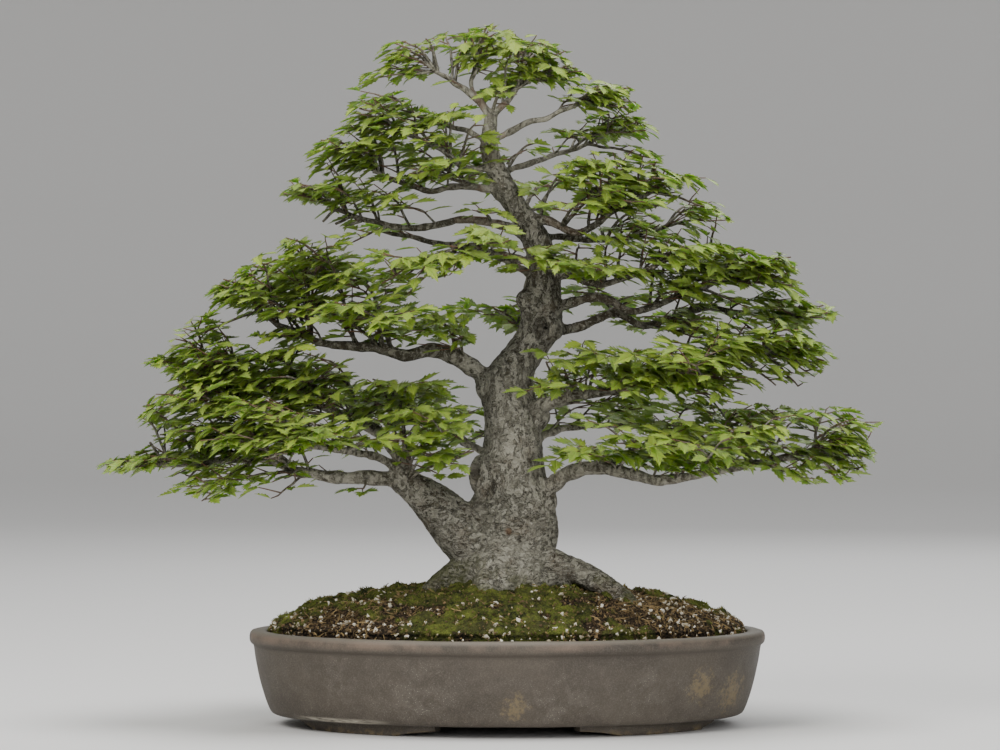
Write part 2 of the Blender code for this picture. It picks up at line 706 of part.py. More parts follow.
class Placed:
    """What stands already, so that a new blade or twig is bent clear of it."""

    def __init__(self):
        self.items = []

    def add(self, points, faces, node):
        centre = sum(points, Vector()) / len(points)
        reach = max((point - centre).length for point in points)
        self.items.append((centre, reach, BVHTree.FromPolygons(points, faces), node))

    def hits(self, points, faces, skip):
        centre = sum(points, Vector()) / len(points)
        reach = max((point - centre).length for point in points)
        tree = BVHTree.FromPolygons(points, faces)
        for other_centre, other_reach, other, node in self.items:
            if node == skip or (centre - other_centre).length > reach + other_reach:
                continue
            if tree.overlap(other):
                return True
        return False


def mesh_lists(item):
    points = [item.matrix_world @ vert.co for vert in item.data.vertices]
    faces = [tuple(face.vertices) for face in item.data.polygons]
    return points, faces


def bare_twig(path):
    """Points and faces of a twig with no leaves, for keeping others clear of it."""
    steps = 2 * len(path)
    points = []
    for step in range(steps + 1):
        points += twig_ring(path, path_length(path) * step / steps)
    faces = [(0, 1, 2), (3 * steps, 3 * steps + 1, 3 * steps + 2)]
    for low in range(0, 3 * steps, 3):
        for i in range(3):
            j = (i + 1) % 3
            faces.append((low + i, low + j, low + 3 + j, low + 3 + i))
    return points, faces


def place_twigs(number, anchor, heading, ends, wood_tree, placed):
    """The twigs of one shoot, each arched until it crosses nothing that stands already."""
    base = leave_wood(anchor, heading, wood_tree)
    own = "twigs_%02d" % number
    fronds = []
    for end in ends:
        for rise, nudge in TWIG_TRIES:
            start = fronds[0].path[0] if fronds else base + heading * nudge * MM
            path = twig_path(start, heading, end, rise * MM, bool(fronds))
            points, faces = bare_twig(path)
            if not placed.hits(points, faces, own):
                placed.add(points, faces, own)
                fronds.append(Frond(path, [] if fronds else [KNEE]))
                break
    if not fronds:
        raise ValueError("%s crosses its neighbours" % own)
    return fronds


def frond_object(name, frond, finish=None):
    bm = bmesh.new()
    verts = [bm.verts.new(point) for point in frond.points]
    for face in frond.faces:
        bm.faces.new([verts[i] for i in face])
    bmesh.ops.triangulate(bm, faces=bm.faces)
    return new_object(name, bm, finish)


def make_sprays(wood, others, finish):
    """One node for each leafy shoot: its twigs and leaves fused, clear of all that stands already."""
    rng = random.Random(SEED)
    placed = Placed()
    for item in [wood] + others:
        placed.add(*mesh_lists(item), item.name)
    wood_tree = BVHTree.FromPolygons(*mesh_lists(wood))
    sprays = [place_twigs(number, anchor, heading, ends, wood_tree, placed)
              for number, (anchor, heading, ends) in enumerate(shoots(), start=1)]
    for number, fronds in enumerate(sprays, start=1):
        for frond in fronds:
            frond.grow(placed, "twigs_%02d" % number, rng)
        spray = frond_object("spray_%02d" % number, fronds[0], finish)
        combine(spray, [frond_object("twig", frond) for frond in fronds[1:]], "UNION")


def main():
    clear_scene()
    clay = material("unglazed_clay", (0.12, 0.10, 0.08), 0.7)
    plastic = material("drain_plastic", (0.05, 0.05, 0.05), 0.5)
    earth = material("soil_mix", (0.06, 0.045, 0.03), 0.95)
    bark = material("bark", (0.22, 0.20, 0.17), 0.85)
    foliage = material("leaf", (0.25, 0.40, 0.06), 0.5)
    pot = make_pot(clay)
    soil = make_soil(root_cutters(), earth)
    meshes = [make_drain_mesh("drain_mesh_left", -1, plastic),
              make_drain_mesh("drain_mesh_right", 1, plastic)]
    wood = make_wood(bark)
    make_sprays(wood, [pot, soil] + meshes, foliage)


main()
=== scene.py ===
"""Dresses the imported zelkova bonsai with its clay, soil, moss, bark, twigs and leaves. Metres, +Z up."""

import json
import math
import random
from collections import namedtuple

import bmesh
import bpy
import numpy as np
from bpy.props import FloatProperty, FloatVectorProperty, IntProperty, PointerProperty
from bpy.types import Operator, Panel, PropertyGroup
from mathutils import Matrix, Vector, noise

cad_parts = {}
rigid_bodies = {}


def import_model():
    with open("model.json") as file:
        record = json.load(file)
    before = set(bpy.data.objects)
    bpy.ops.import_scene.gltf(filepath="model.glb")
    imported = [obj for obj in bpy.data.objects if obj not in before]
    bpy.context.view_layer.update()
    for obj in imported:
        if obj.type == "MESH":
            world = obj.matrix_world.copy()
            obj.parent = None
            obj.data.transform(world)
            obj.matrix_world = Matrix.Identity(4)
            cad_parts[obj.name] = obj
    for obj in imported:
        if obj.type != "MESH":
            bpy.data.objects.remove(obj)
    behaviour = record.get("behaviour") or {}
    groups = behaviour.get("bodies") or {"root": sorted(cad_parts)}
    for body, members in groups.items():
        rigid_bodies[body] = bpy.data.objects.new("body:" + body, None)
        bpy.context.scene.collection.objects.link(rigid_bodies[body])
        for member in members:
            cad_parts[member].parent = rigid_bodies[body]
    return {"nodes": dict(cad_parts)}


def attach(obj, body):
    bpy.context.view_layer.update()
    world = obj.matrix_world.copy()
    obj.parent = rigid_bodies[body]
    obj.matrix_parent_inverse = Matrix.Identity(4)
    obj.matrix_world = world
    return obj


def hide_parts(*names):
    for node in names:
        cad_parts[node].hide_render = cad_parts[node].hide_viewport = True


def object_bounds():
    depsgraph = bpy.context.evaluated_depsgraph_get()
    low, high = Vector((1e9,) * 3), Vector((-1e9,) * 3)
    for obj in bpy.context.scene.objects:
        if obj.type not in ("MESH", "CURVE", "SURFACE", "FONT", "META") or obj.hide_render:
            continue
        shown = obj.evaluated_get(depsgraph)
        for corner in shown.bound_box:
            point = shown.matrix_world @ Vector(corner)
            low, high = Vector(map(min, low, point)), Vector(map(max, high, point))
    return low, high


bl_info = {
    "name": "Zelkova bonsai",
    "version": (1, 0, 0),
    "blender": (4, 5, 0),
    "location": "3D View > Sidebar > Bonsai",
    "description": "Builds the visible surfaces of a potted zelkova round its fixed frame",
    "category": "Object",
}

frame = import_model()
CAD_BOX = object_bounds()
MM = 0.001
UP = Vector((0, 0, 1))
NOISE_SEED = 4  # unset, Blender's noise vectors take the clock and differ from run to run

# The pot, in mm: its centre and rim, its profile as insets from the rim and heights, its feet and drains, and
# the angle in degrees over which its edges stay sharp
POT_CENTRE_X = 16
RIM_HALF_LENGTH = 210
RIM_HALF_DEPTH = 150
POT_PROFILE = (
    (34, 9), (23, 9), (20.2, 9.3), (18.2, 10.4), (16.8, 12.5), (14.6, 17.5), (11.8, 25.5), (8.8, 36),
    (6.5, 46), (4.8, 55), (3.7, 62.5), (3.3, 64.8), (2.6, 65.8), (1.5, 66.5), (0.5, 67.8), (0, 69.6),
    (0, 72.6), (0.5, 74.8), (1.8, 76.4), (3.8, 77), (8, 77), (12, 76.9), (14, 76.2), (14.9, 74.6),
    (15.2, 71), (15.5, 66), (21, 46), (27, 25), (30, 19), (34, 17),
)
FOOT_INSET = 38
FOOT_INSET_AT_FRONT = 28
FOOT_WIDTH = 13
FOOT_TOP = 11
FRONT_GAP_HALF = 57
SIDE_GAP_HALF = 28
SCALLOP_RISE = 4.5
SCALLOP_SHARE = 0.2
DRAIN_RADIUS = 11
DRAIN_OFFSET = 85
SHARP_ANGLE = 40

# Marks on the clay: centre in mm, reach in mm
OCHRE_STAINS = (((170, -92, 38), 15), ((197, -62, 31), 18), ((22, -139, 26), 12))
PALE_SPATTER = (((128, -112, 42), 30), ((60, -132, 28), 40), ((-52, -132, 34), 44), ((-120, -112, 40), 30))
LIME_EDGE = ((-122, -98, 15), 52)

# The soil: half axes inside the rim, edge height and mound, in mm
SOIL_HALF_LENGTH = 194.4
SOIL_HALF_DEPTH = 134.4
SOIL_EDGE = 74.5
SOIL_MOUND = 44

# The trunk: centre line and half width in mm, from the buried root base to the fork at the top
TRUNK_LINE = (
    (11, 0, 84, 46), (10, 0, 107, 51), (11, 0, 117, 48), (12, 0, 132, 43),
    (21, -1, 149, 36.5), (24, -2, 166, 32.5), (22, -3, 190, 28), (20, -4, 214, 25.5),
    (20.5, -3, 240, 23), (17, -1, 264, 22), (16, 0, 280, 21), (24, 2, 296, 19.5),
    (37, 3, 312, 18.5), (43.5, 1, 328, 17), (43, -2, 345, 16.5), (45, -3, 361, 14.5),
    (45, 0, 378, 12.5), (40, 2, 394, 12.3), (32, 1, 410, 11.7), (20, -2, 427, 11),
    (12, -4, 443, 10), (4, -8, 459, 8.5), (1.5, -11, 476, 6.4), (3, -14, 496, 5),
)
LOBE_ANGLES = (-18, 42, 118, 165, 205, 262, 312)
LOBE_WIDTH = 24
LOBE_DEPTH = 0.2
LOBE_TOP = 168

# Surface roots and the thick low limb: route and radii in mm
ROOTS = (
    (((38, -12, 140), (58, -22, 132), (76, -28, 124), (92, -34, 116), (106, -39, 107), (122, -44, 94)),
     (12, 9, 9.3, 9.6, 8.5, 6)),
    (((-14, -10, 124), (-34, -20, 115), (-52, -30, 105)), (17, 12, 7)),
    (((30, 20, 124), (46, 40, 114), (62, 62, 103)), (17, 11, 6)),
    (((-4, 18, 124), (-20, 40, 114), (-36, 60, 103)), (17, 11, 6)),
    (((4, -24, 122), (0, -42, 114), (-4, -60, 103)), (17, 12, 6)),
)
LOW_LIMB = (((12, 0, 130), (-8, -4, 144), (-25, -6, 161), (-43, -8, 179), (-60, -8, 192), (-74, -10, 200)),
            (21, 22, 21, 17.5, 12.5, 8.5))

# Swellings on the trunk: centre and half axes in mm
SWELLINGS = (
    ((-4, -12, 203), (11, 13, 17)), ((-2, -6, 178), (13, 16, 12)), ((45, -8, 182), (12, 13, 14)),
    ((42, -4, 252), (9, 12, 12)), ((-1, -4, 275), (9, 12, 11)), ((52, -8, 322), (10, 12, 11)),
    ((50, -10, 342), (9, 10, 9)), ((40, 8, 322), (13, 12, 13)), ((32, -10, 345), (9, 9, 9)),
    ((40, -10, 134), (12, 14, 10)), ((54, -19, 119), (16, 12, 11)), ((13, -2, 434), (10, 10, 8)),
    ((1, -10, 470), (7.5, 7.5, 7)),
)
# Sunken wounds: centre, half axes and depth in mm
WOUNDS = (((-9.5, -23, 205.5), (3.4, 7, 8.5), 5), ((43, -20, 322), (7, 9, 10), 6),
          ((17, -36, 158), (3, 8, 4), 2))
SCAR = (17, -33, 158)

# The palest bark, low on the front, and painted shade in the crotches and wounds: centre and reach in mm
PALE_BARK = (24, -40, 128)
SHADED_BARK = (
    ((-10, -22, 182), 7), ((-9, -27, 170), 6), ((-8, -31, 158), 7), ((-10, -20.5, 202), 5.6),
    ((-9.5, -19.5, 208), 5.2), ((-10, -20, 205), 4.2),
    ((44, -14, 322), 9), ((47, -12, 226), 7), ((-30, -6, 136), 12), ((44, -6, 174), 8), ((0, -16, 264), 6),
)

# The crown: leafy regions, each one piece, with their branches. All lengths are in mm.
Branch = namedtuple("Branch", (
    "name", "base", "tip",  # radius at each end
    "bare",  # the share without shoots
    "shown",  # the share, from the trunk outwards, that shows past the leaves from the front
    "hang",  # how far its outer foliage hangs under it
    "route",
    "tip_ends",  # ends of extra shoots from its tip
    "side_shoots",  # for each side shoot, the ends that its twigs reach
    "pad_ends",  # ends of the shoots that fill out its pad
))
CANOPY = (
    ("leaves_low_left", (
        Branch("low_left_out", 7, 2.4, 0.3, 0.55, 50,
            ((-60, -8, 194), (-78, -15, 200), (-95, -20, 201), (-123, -30, 202), (-151, -35, 206),
            (-171, -30, 214), (-196, -22, 217), (-230, -16, 214), (-266, -12, 212)),
            ((-264, 6, 243),), (((-206, -78, 200), (-172, -146, 220)),),
            ((-286, -20, 236), (-238, -64, 240), (-214, 26, 240), (-252, -44, 204), (-222, -74, 196),
            (-190, -64, 190), (-262, 12, 202), (-168, -84, 188), (-216, 30, 194), (-262, -30, 250),
            (-240, 20, 256), (-226, -50, 258), (-284, 4, 252), (-196, -100, 232), (-160, -60, 236),
            (-206, -52, 256), (-284, -22, 210), (-304, -8, 212), (-228, -66, 184), (-196, -74, 182),
            (-204, -34, 252), (-100, -52, 193), (-186, -66, 180), (-246, -42, 196))),
        Branch("low_left_up", 6.5, 2.2, 0.2, 0.3, 26,
            ((-58, -8, 196), (-70, -5, 213), (-80, 2, 228), (-92, 12, 240), (-113, 20, 249),
            (-146, 25, 262), (-179, 25, 270), (-232, 18, 281)),
            ((-246, -14, 313),), (((-204, 96, 284),), ((-120, 126, 262),), ((-68, -40, 250),),
            ((-218, -54, 256),)),
            ((-258, 8, 296), (-214, -22, 306), (-178, -34, 300), (-186, 50, 300), (-150, -40, 280),
            (-256, -34, 262), (-142, 52, 290), (-236, -60, 262), (-240, -10, 326), (-220, 20, 322),
            (-48, -34, 258), (-226, -30, 292), (-206, -40, 290), (-70, -50, 272), (-86, -46, 276),
            (-128, -34, 294), (-204, -42, 260), (-224, -20, 260), (-176, -50, 252), (-264, -28, 258),
            (-148, -52, 254))),
        Branch("low_left_front", 5, 2, 0.3, 0.6, 16,
            ((-62, -10, 196), (-78, -26, 212), (-93, -42, 220), (-114, -70, 224), (-138, -104, 229)),
            (), (((-78, -122, 236),),),
            ((-176, -96, 248), (-46, -72, 252), (-34, -86, 240), (-150, -92, 254), (-174, -84, 258),
            (-122, -96, 248), (-196, -86, 254), (-42, -68, 222), (-30, -76, 214))),
    )),
    ("leaves_mid_left", (
        Branch("left_second", 8, 2.2, 0.4, 0.72, 16,
            ((6, 0, 276), (-13, -4, 291), (-29, -8, 301), (-47, -12, 304), (-67, -14, 301),
            (-87, -12, 306), (-112, -10, 308), (-140, -6, 312), (-165, -2, 323), (-190, 0, 338)),
            (), (((-88, 36, 338), (-112, 48, 368)), ((-132, -82, 330), (-82, -104, 326)),
            ((-170, 84, 364),), ((-38, -54, 308),), ((-156, -16, 364),)),
            ((-214, -20, 362), (-196, 34, 372), (-182, -44, 376), (-140, 26, 376), (-104, -46, 356),
            (-126, -42, 334), (-30, -60, 332), (-8, -58, 304), (-150, -20, 386), (-140, -40, 384),
            (-168, -30, 316), (-228, -10, 320), (-206, -30, 304), (-22, -52, 316), (-34, -50, 326))),
        Branch("left_third", 4.5, 1.9, 0.45, 0.6, 38,
            ((35, 4, 396), (10, -8, 407), (-22, -14, 410), (-51, -16, 404), (-75, -14, 405),
            (-100, -10, 411), (-126, -5, 420)),
            (), (((-69, -92, 411),), ((-124, -12, 450),)),
            ((-152, 10, 440), (-150, -30, 436), (-28, -40, 412), (-8, -44, 416), (-146, -16, 396),
            (-138, -30, 388), (-166, -8, 432), (-146, -22, 394), (-108, -32, 392), (-100, -20, 432),
            (-84, -30, 430))),
        Branch("left_third_back", 4, 1.8, 0.5, 0.8, 16,
            ((36, 6, 376), (6, 20, 385), (-27, 42, 391), (-56, 62, 397), (-88, 80, 405)),
            (), (), ()),
    )),
    ("leaves_high_left", (
        Branch("left_fourth", 3.5, 1.7, 0.4, 0.6, 16,
            ((16, 0, 434), (-6, -5, 437), (-30, -8, 437), (-51, -10, 435), (-94, -10, 450)),
            (), (((-52, 54, 458), (-64, -62, 446)),),
            ((-124, -20, 468), (-136, 0, 476), (-100, -40, 466), (-90, -36, 472), (-106, -16, 476),
            (-94, 8, 474), (-80, -30, 474))),
        Branch("left_fifth", 3, 1.5, 0.42, 0.5, 16,
            ((4, -8, 452), (-16, -14, 452), (-29, -18, 460), (-42, -18, 469), (-73, -16, 482)),
            ((-46, -56, 470),), (),
            ((-104, -24, 500), (-96, 6, 506), (-60, -30, 498), (-122, -10, 484), (-8, -48, 488),
            (-12, -44, 474), (-28, -44, 496), (-34, -40, 490))),
        Branch("left_sixth", 2.8, 1.5, 0.42, 0.5, 16,
            ((1, -11, 474), (-14, -2, 482), (-31, 15, 488), (-63, 28, 500)),
            (), (), ()),
    )),
    ("leaves_crown", (
        Branch("top_left", 4.2, 1.6, 0.5, 0.95, 16,
            ((3, -14, 494), (-8, -16, 507), (-17, -18, 515), (-26, -20, 520), (-35, -22, 527),
            (-44, -24, 532)),
            ((-42, 4, 538),), (),
            ((-70, -18, 548), (-50, -30, 556), (-34, 6, 560), (-62, -36, 540), (-84, -20, 532),
            (-82, -24, 526), (-20, -26, 548), (-46, -20, 553))),
        Branch("top_middle", 2.6, 1.4, 0.5, 0.8, 16,
            ((-8, -16, 508), (-13, -12, 519), (-10, -8, 532)),
            (), (),
            ((-14, 16, 562), (-2, -26, 562), (6, -20, 540), (12, -30, 550))),
        Branch("top_right", 4, 1.5, 0.5, 0.8, 16,
            ((3, -14, 494), (14, -10, 506), (22, -5, 515), (29, 0, 526)),
            ((50, -15, 524),), (((22, 48, 520),), ((16, -58, 514),)),
            ((24, -20, 556), (40, 10, 552), (58, -8, 546), (34, -26, 552), (50, -22, 540), (20, -34, 546),
            (72, -12, 534), (64, -32, 534), (68, -20, 530))),
    )),
    ("leaves_high_right", (
        Branch("right_sixth", 3.2, 1.6, 0.5, 0.5, 16,
            ((2, -12, 474), (18, -14, 482), (31, -18, 489), (47, -20, 492), (60, -20, 498), (78, -20, 505)),
            (), (),
            ((108, -26, 516), (96, -8, 520), (108, -2, 508), (112, -36, 500), (88, -46, 512),
            (32, -46, 482), (16, -44, 474))),
        Branch("right_fifth", 3, 1.6, 0.5, 0.5, 16,
            ((12, -3, 450), (35, 12, 458), (53, 22, 465), (74, 32, 471), (95, 40, 482)),
            (), (),
            ((124, 20, 490), (44, -18, 474), (108, 0, 496), (28, -28, 464), (134, 6, 462), (116, -14, 482))),
        Branch("right_fourth", 4.5, 1.8, 0.5, 0.65, 16,
            ((32, 0, 414), (51, -14, 409), (64, -24, 402), (76, -28, 400), (91, -30, 409), (107, -30, 420),
            (136, -28, 434)),
            (), (((72, -78, 420), (100, -80, 430)),),
            ((166, -22, 444), (112, -10, 448), (84, -44, 440), (152, -42, 406), (176, -30, 420),
            (82, -60, 452), (98, -54, 450), (78, -12, 450), (124, -26, 454), (136, -44, 456),
            (88, -44, 454), (104, -18, 456), (62, -46, 450))),
        Branch("right_fourth_low", 3.2, 1.7, 0.55, 0.4, 16,
            ((42, 5, 398), (72, 10, 396), (96, 12, 395), (125, 15, 400), (150, 18, 408)),
            (), (((127, 80, 420),),),
            ((146, -14, 392), (108, -22, 394), (184, -8, 410))),
    )),
    ("leaves_mid_right", (
        Branch("right_third_front", 4.2, 1.9, 0.4, 0, 16,
            ((46, -2, 366), (67, -16, 366), (81, -32, 360), (95, -44, 358), (114, -58, 364),
            (136, -66, 371)),
            (), (((80, -84, 371),),),
            ((126, -64, 391), (34, -72, 376), (148, -74, 376), (140, -60, 384), (96, -60, 390),
            (112, -58, 394), (74, -66, 390))),
        Branch("right_third", 4.8, 2, 0.45, 0.75, 26,
            ((46, -3, 340), (69, -12, 343), (85, -16, 348), (99, -18, 345), (116, -18, 336),
            (136, -18, 341), (160, -16, 350), (194, -12, 362)),
            ((190, 32, 376),), (),
            ((222, -20, 374), (214, 16, 384), (250, -10, 372), (250, 18, 358), (238, -34, 356),
            (150, -32, 392), (178, -22, 392), (138, -54, 384), (206, -30, 340), (184, -40, 408),
            (244, -24, 376), (184, -34, 386), (166, -48, 382), (200, 4, 388), (168, -50, 356),
            (180, -44, 364), (246, -20, 380))),
        Branch("right_third_low", 4.6, 2, 0.5, 0.5, 16,
            ((44, 0, 320), (74, 6, 323), (90, 10, 330), (107, 14, 334), (129, 18, 325), (148, 24, 330),
            (180, 34, 340), (230, 42, 332)),
            (), (((176, 104, 322),), ((118, 116, 341),)),
            ((262, 30, 334), (244, 6, 322), (190, 0, 322), (160, -12, 316), (108, -20, 314),
            (186, -2, 312), (278, 10, 336), (282, -6, 330), (190, -30, 314), (226, -10, 314),
            (168, -40, 314), (84, -28, 312), (186, -12, 316))),
        Branch("right_second", 6, 2.1, 0.3, 0.35, 34,
            ((24, -4, 252), (43, -16, 259), (60, -28, 265), (79, -40, 269), (103, -46, 272),
            (127, -48, 275), (155, -45, 281), (183, -40, 292), (226, -36, 304)),
            (), (((172, -122, 284),), ((92, -124, 276),), ((62, -64, 284),)),
            ((262, -40, 304), (234, -62, 312), (150, -70, 304), (110, -74, 300), (200, -66, 270),
            (232, -44, 276), (184, -92, 266), (254, -20, 272), (196, 6, 274), (190, -54, 320),
            (168, -66, 322), (208, -32, 324), (130, -82, 276), (150, -62, 270), (112, -92, 280),
            (272, -30, 296), (262, -8, 286), (268, -16, 290), (258, -44, 292), (60, -66, 292),
            (46, -70, 298), (94, -80, 298), (186, -80, 310), (228, -40, 316), (186, -70, 281),
            (172, -82, 277), (76, -66, 306), (124, -84, 288), (152, -80, 286), (108, -96, 272))),
        Branch("right_second_back", 4, 2, 0.3, 0, 16,
            ((24, 10, 246), (60, 70, 260), (104, 110, 270)),
            (), (), ()),
    )),
    ("leaves_low_right", (
        Branch("low_right", 7.5, 2.3, 0.22, 0.45, 34,
            ((30, -4, 182), (43, -8, 189), (56, -18, 198), (70, -30, 207), (91, -40, 210), (118, -50, 204),
            (138, -54, 200), (170, -52, 205), (203, -45, 211), (234, -38, 217), (266, -31, 222)),
            ((276, 4, 254),), (((216, -104, 240), (172, -150, 220)), ((124, -132, 228), (78, -100, 225)),
            ((196, 68, 248),)),
            ((300, -26, 244), (284, -50, 246), (250, -66, 250), (238, 6, 252), (196, -20, 246),
            (252, -62, 202), (282, -40, 206), (168, -70, 222), (90, -70, 222), (84, -60, 216),
            (282, -24, 202), (206, -60, 238), (266, -56, 210), (240, -74, 206), (308, -10, 246),
            (304, -22, 218), (310, -8, 226), (286, -34, 200), (300, -30, 208), (168, -84, 214),
            (130, -80, 218))),
    )),
    ("leaves_front_and_back", (
        Branch("front_key", 4, 1.9, 0.4, 0, 34,
            ((40, -6, 362), (22, -26, 373), (8, -44, 380), (-6, -58, 385), (-22, -72, 388)),
            ((14, -96, 389),), (),
            ((-84, -84, 357), (-52, -94, 366), (20, -92, 380), (48, -84, 374), (-26, -66, 368),
            (-46, -72, 372), (-24, -86, 374), (-72, -60, 360), (0, -82, 396), (-12, -66, 410),
            (6, -64, 404), (-10, -60, 398), (32, -76, 374), (46, -70, 376), (-60, -80, 352),
            (-34, -78, 362), (-8, -64, 394))),
        Branch("back_low_left", 4.6, 2, 0.35, 0, 16,
            ((16, 8, 214), (-15, 62, 226), (-38, 98, 238), (-58, 118, 250)),
            (), (), ()),
        Branch("back_low_right", 4.6, 2, 0.35, 0, 16,
            ((28, 8, 222), (56, 72, 238), (95, 106, 242), (126, 124, 240)),
            (), (), ()),
        Branch("back_middle", 4, 1.9, 0.35, 0, 16,
            ((38, 8, 308), (27, 66, 324), (12, 112, 336)),
            (), (), ()),
        Branch("back_high", 3.4, 1.8, 0.35, 0, 16,
            ((32, 4, 410), (32, 50, 424), (36, 84, 436)),
            (), (), ()),
    )),
)
BRANCHES = [branch for _, branches in CANOPY for branch in branches]

# The two shoots at a branch's tip: turn in degrees and reach. The companion of a single side shoot.
TIP_FAN = ((24, 34), (-30, 30))
COMPANION_TURN = 36
COMPANION_SHARE = 0.82
# Branches are fused with the trunk as far as they are thicker than this radius in metres
STOUT = 3.1 * MM

# The outline that the crown is clipped to, from the front: heights and how far it reaches to the left and to
# the right, and to the front and back, in mm
CROWN_LEFT = ((172, -190), (180, -235), (190, -302), (202, -308), (209, -325), (217, -312), (223, -280),
              (235, -276), (243, -288), (262, -286), (276, -258), (290, -276), (298, -288), (307, -260),
              (330, -253), (346, -244), (366, -212), (385, -190), (394, -178), (400, -108), (412, -148),
              (420, -130), (427, -178), (436, -166), (450, -163), (470, -145), (486, -127), (508, -117),
              (518, -118), (536, -108), (550, -94), (560, -66), (568, -28))
CROWN_RIGHT = ((182, 150), (190, 200), (196, 293), (204, 314), (222, 320), (234, 313), (248, 324), (260, 304),
               (267, 234), (274, 258), (293, 280), (303, 290), (318, 268), (334, 292), (347, 266), (366, 258),
               (384, 246), (392, 190), (410, 204), (424, 196), (431, 168), (438, 198), (444, 194), (452, 148),
               (482, 142), (492, 126), (516, 123), (526, 84), (540, 68), (556, 64), (568, 10))
CROWN_DEPTH = ((170, 178), (250, 178), (330, 158), (400, 132), (450, 112), (520, 84), (570, 52))
CROWN_MIDDLE = 12

# The camera's place before the trunk, in mm
CAMERA_X = 10.2
CAMERA_Z = 284.4
CAMERA_REACH = 3000

# The part of the trunk that is kept in view from the front: left, right and top in mm
WINDOW = (-8, 47, 348)

# Room round the branches that show in mm, and the share of leaves that grow there and in the gaps even so
SHOWN_MARGIN = 3
STRAY_LEAVES = 0.2

# Seeds of the ground cover: its shapes, its places, its tones
SHAPE_SEED = 42
PLACE_SEED = 11
TONE_SEED = 77

# Gaps between the pads as the front shows them: centre x and z, half width and half height in mm
GAPS = (
    (-31, 515, 31, 14), (45, 499, 33, 11), (-45, 540, 13, 8), (-50, 394, 30, 13), (84, 412, 34, 8),
    (147, 412, 16, 8), (-150, 326, 30, 6), (-72, 292, 52, 12), (140, 338, 32, 8), (108, 356, 14, 9),
    (-96, 218, 34, 7), (-196, 322, 18, 5), (66, 473, 22, 6), (-26, 472, 8, 4), (-48, 466, 8, 6),
    (-84, 440, 14, 4), (-152, 211, 20, 9), (-188, 211, 16, 6), (-166, 193, 24, 7), (72, 255, 12, 8),
    (94, 239, 9, 5), (152, 197, 26, 8), (230, 262, 24, 8), (-106, 351, 13, 6), (-262, 275, 12, 6),
    (4, 338, 8, 6), (-76, 412, 40, 7), (-127, 257, 11, 6), (88, 275, 18, 11), (110, 376, 10, 5),
    (-40, 352, 16, 7), (200, 340, 10, 4), (166, 432, 9, 5), (-262, 203, 14, 6), (-60, 241, 9, 6),
    (-146, 222, 16, 4), (192, 355, 16, 7), (250, 258, 12, 5), (-120, 315, 20, 6), (36, 510, 16, 9),
    (-78, 450, 16, 5), (148, 452, 10, 5), (62, 430, 24, 5), (50, 394, 12, 6), (126, 470, 12, 6),
    (-205, 333, 14, 5), (246, 216, 10, 6), (76, 488, 16, 5), (208, 274, 10, 5), (186, 333, 12, 6),
)

# Leaf shapes: teeth a side, half width, fold, droop and curl. Twigs may end in the last one, a young leaf.
LEAF_SHAPES = ((4, 0.27, 0.20, 0.10, 0.03), (4, 0.25, 0.10, 0.16, -0.05), (4, 0.29, 0.30, 0.04, 0.0),
               (4, 0.22, 0.50, 0.20, 0.06))

# The floor and its rising edge: radius and height in metres
FLOOR = ((0.6, 0), (2.5, 0), (6.8, 0), (7.6, 0.08), (8.3, 0.3), (8.9, 0.8), (9.3, 1.6), (9.5, 2.8),
         (9.6, 4.4))

# Small free shoots that stand out of the pads: start and end in mm
FREE_SHOOTS = (
    ("leaves_low_left", (-228, -20, 288), (-247, -24, 322)),
    ("leaves_low_left", (-56, -56, 212), (-34, -66, 205)),
    ("leaves_mid_right", (62, -44, 272), (49, -52, 301)),
    ("leaves_mid_right", (76, -40, 282), (54, -60, 276)),
    ("leaves_mid_right", (56, -52, 279), (30, -64, 273)),
    ("leaves_low_right", (70, -42, 224), (48, -70, 214)),
    ("leaves_high_right", (98, -32, 442), (115, -40, 470)),
    ("leaves_front_and_back", (8, -66, 388), (14, -74, 404)),
    ("leaves_high_right", (128, -30, 430), (136, -34, 452)),
)


# ---------------------------------------------------------------- settings
def colour_property(name, description, default):
    return FloatVectorProperty(name=name, description=description, default=default, size=3, min=0, max=1,
                               subtype="COLOR")


def amount_property(name, description, default, **more):
    return FloatProperty(name=name, description=description, default=default, min=0, **more)


def length_property(name, description, default):
    return amount_property(name, description, default, subtype="DISTANCE", unit="LENGTH", precision=5)


class PotSettings(PropertyGroup):
    clay_dark: colour_property("Clay, dark", "Darker cloud in the clay", (0.044, 0.035, 0.026))
    clay_light: colour_property("Clay, light", "Lighter cloud in the clay", (0.084, 0.070, 0.054))
    ochre: colour_property("Ochre", "Iron stains on the wall", (0.205, 0.155, 0.080))
    lime: colour_property("Lime", "Mineral line along the foot", (0.50, 0.46, 0.37))
    unevenness: length_property("Unevenness", "How far the hand-made wall departs from true", 0.0005)


class SoilSettings(PropertyGroup):
    earth: colour_property("Earth", "Damp soil between the grains", (0.030, 0.021, 0.013))
    moss_dark: colour_property("Moss, dark", "Old moss", (0.034, 0.040, 0.012))
    moss_light: colour_property("Moss, light", "Growing moss", (0.205, 0.235, 0.042))
    lump: length_property("Lump height", "Height of the lumps and cushions on the mound", 0.005)
    grain: length_property("Grain height", "Height of the grains in the soil's own surface", 0.0012)
    moss_density: amount_property("Moss density", "Tufts of moss for each square metre", 52000)
    grit_density: amount_property("Grit density", "Soil grains for each square metre", 60000)
    pale_density: amount_property("Pumice density", "Pale grains for each square metre", 21000)
    straw_density: amount_property("Straw density", "Dry stalks for each square metre", 60000)


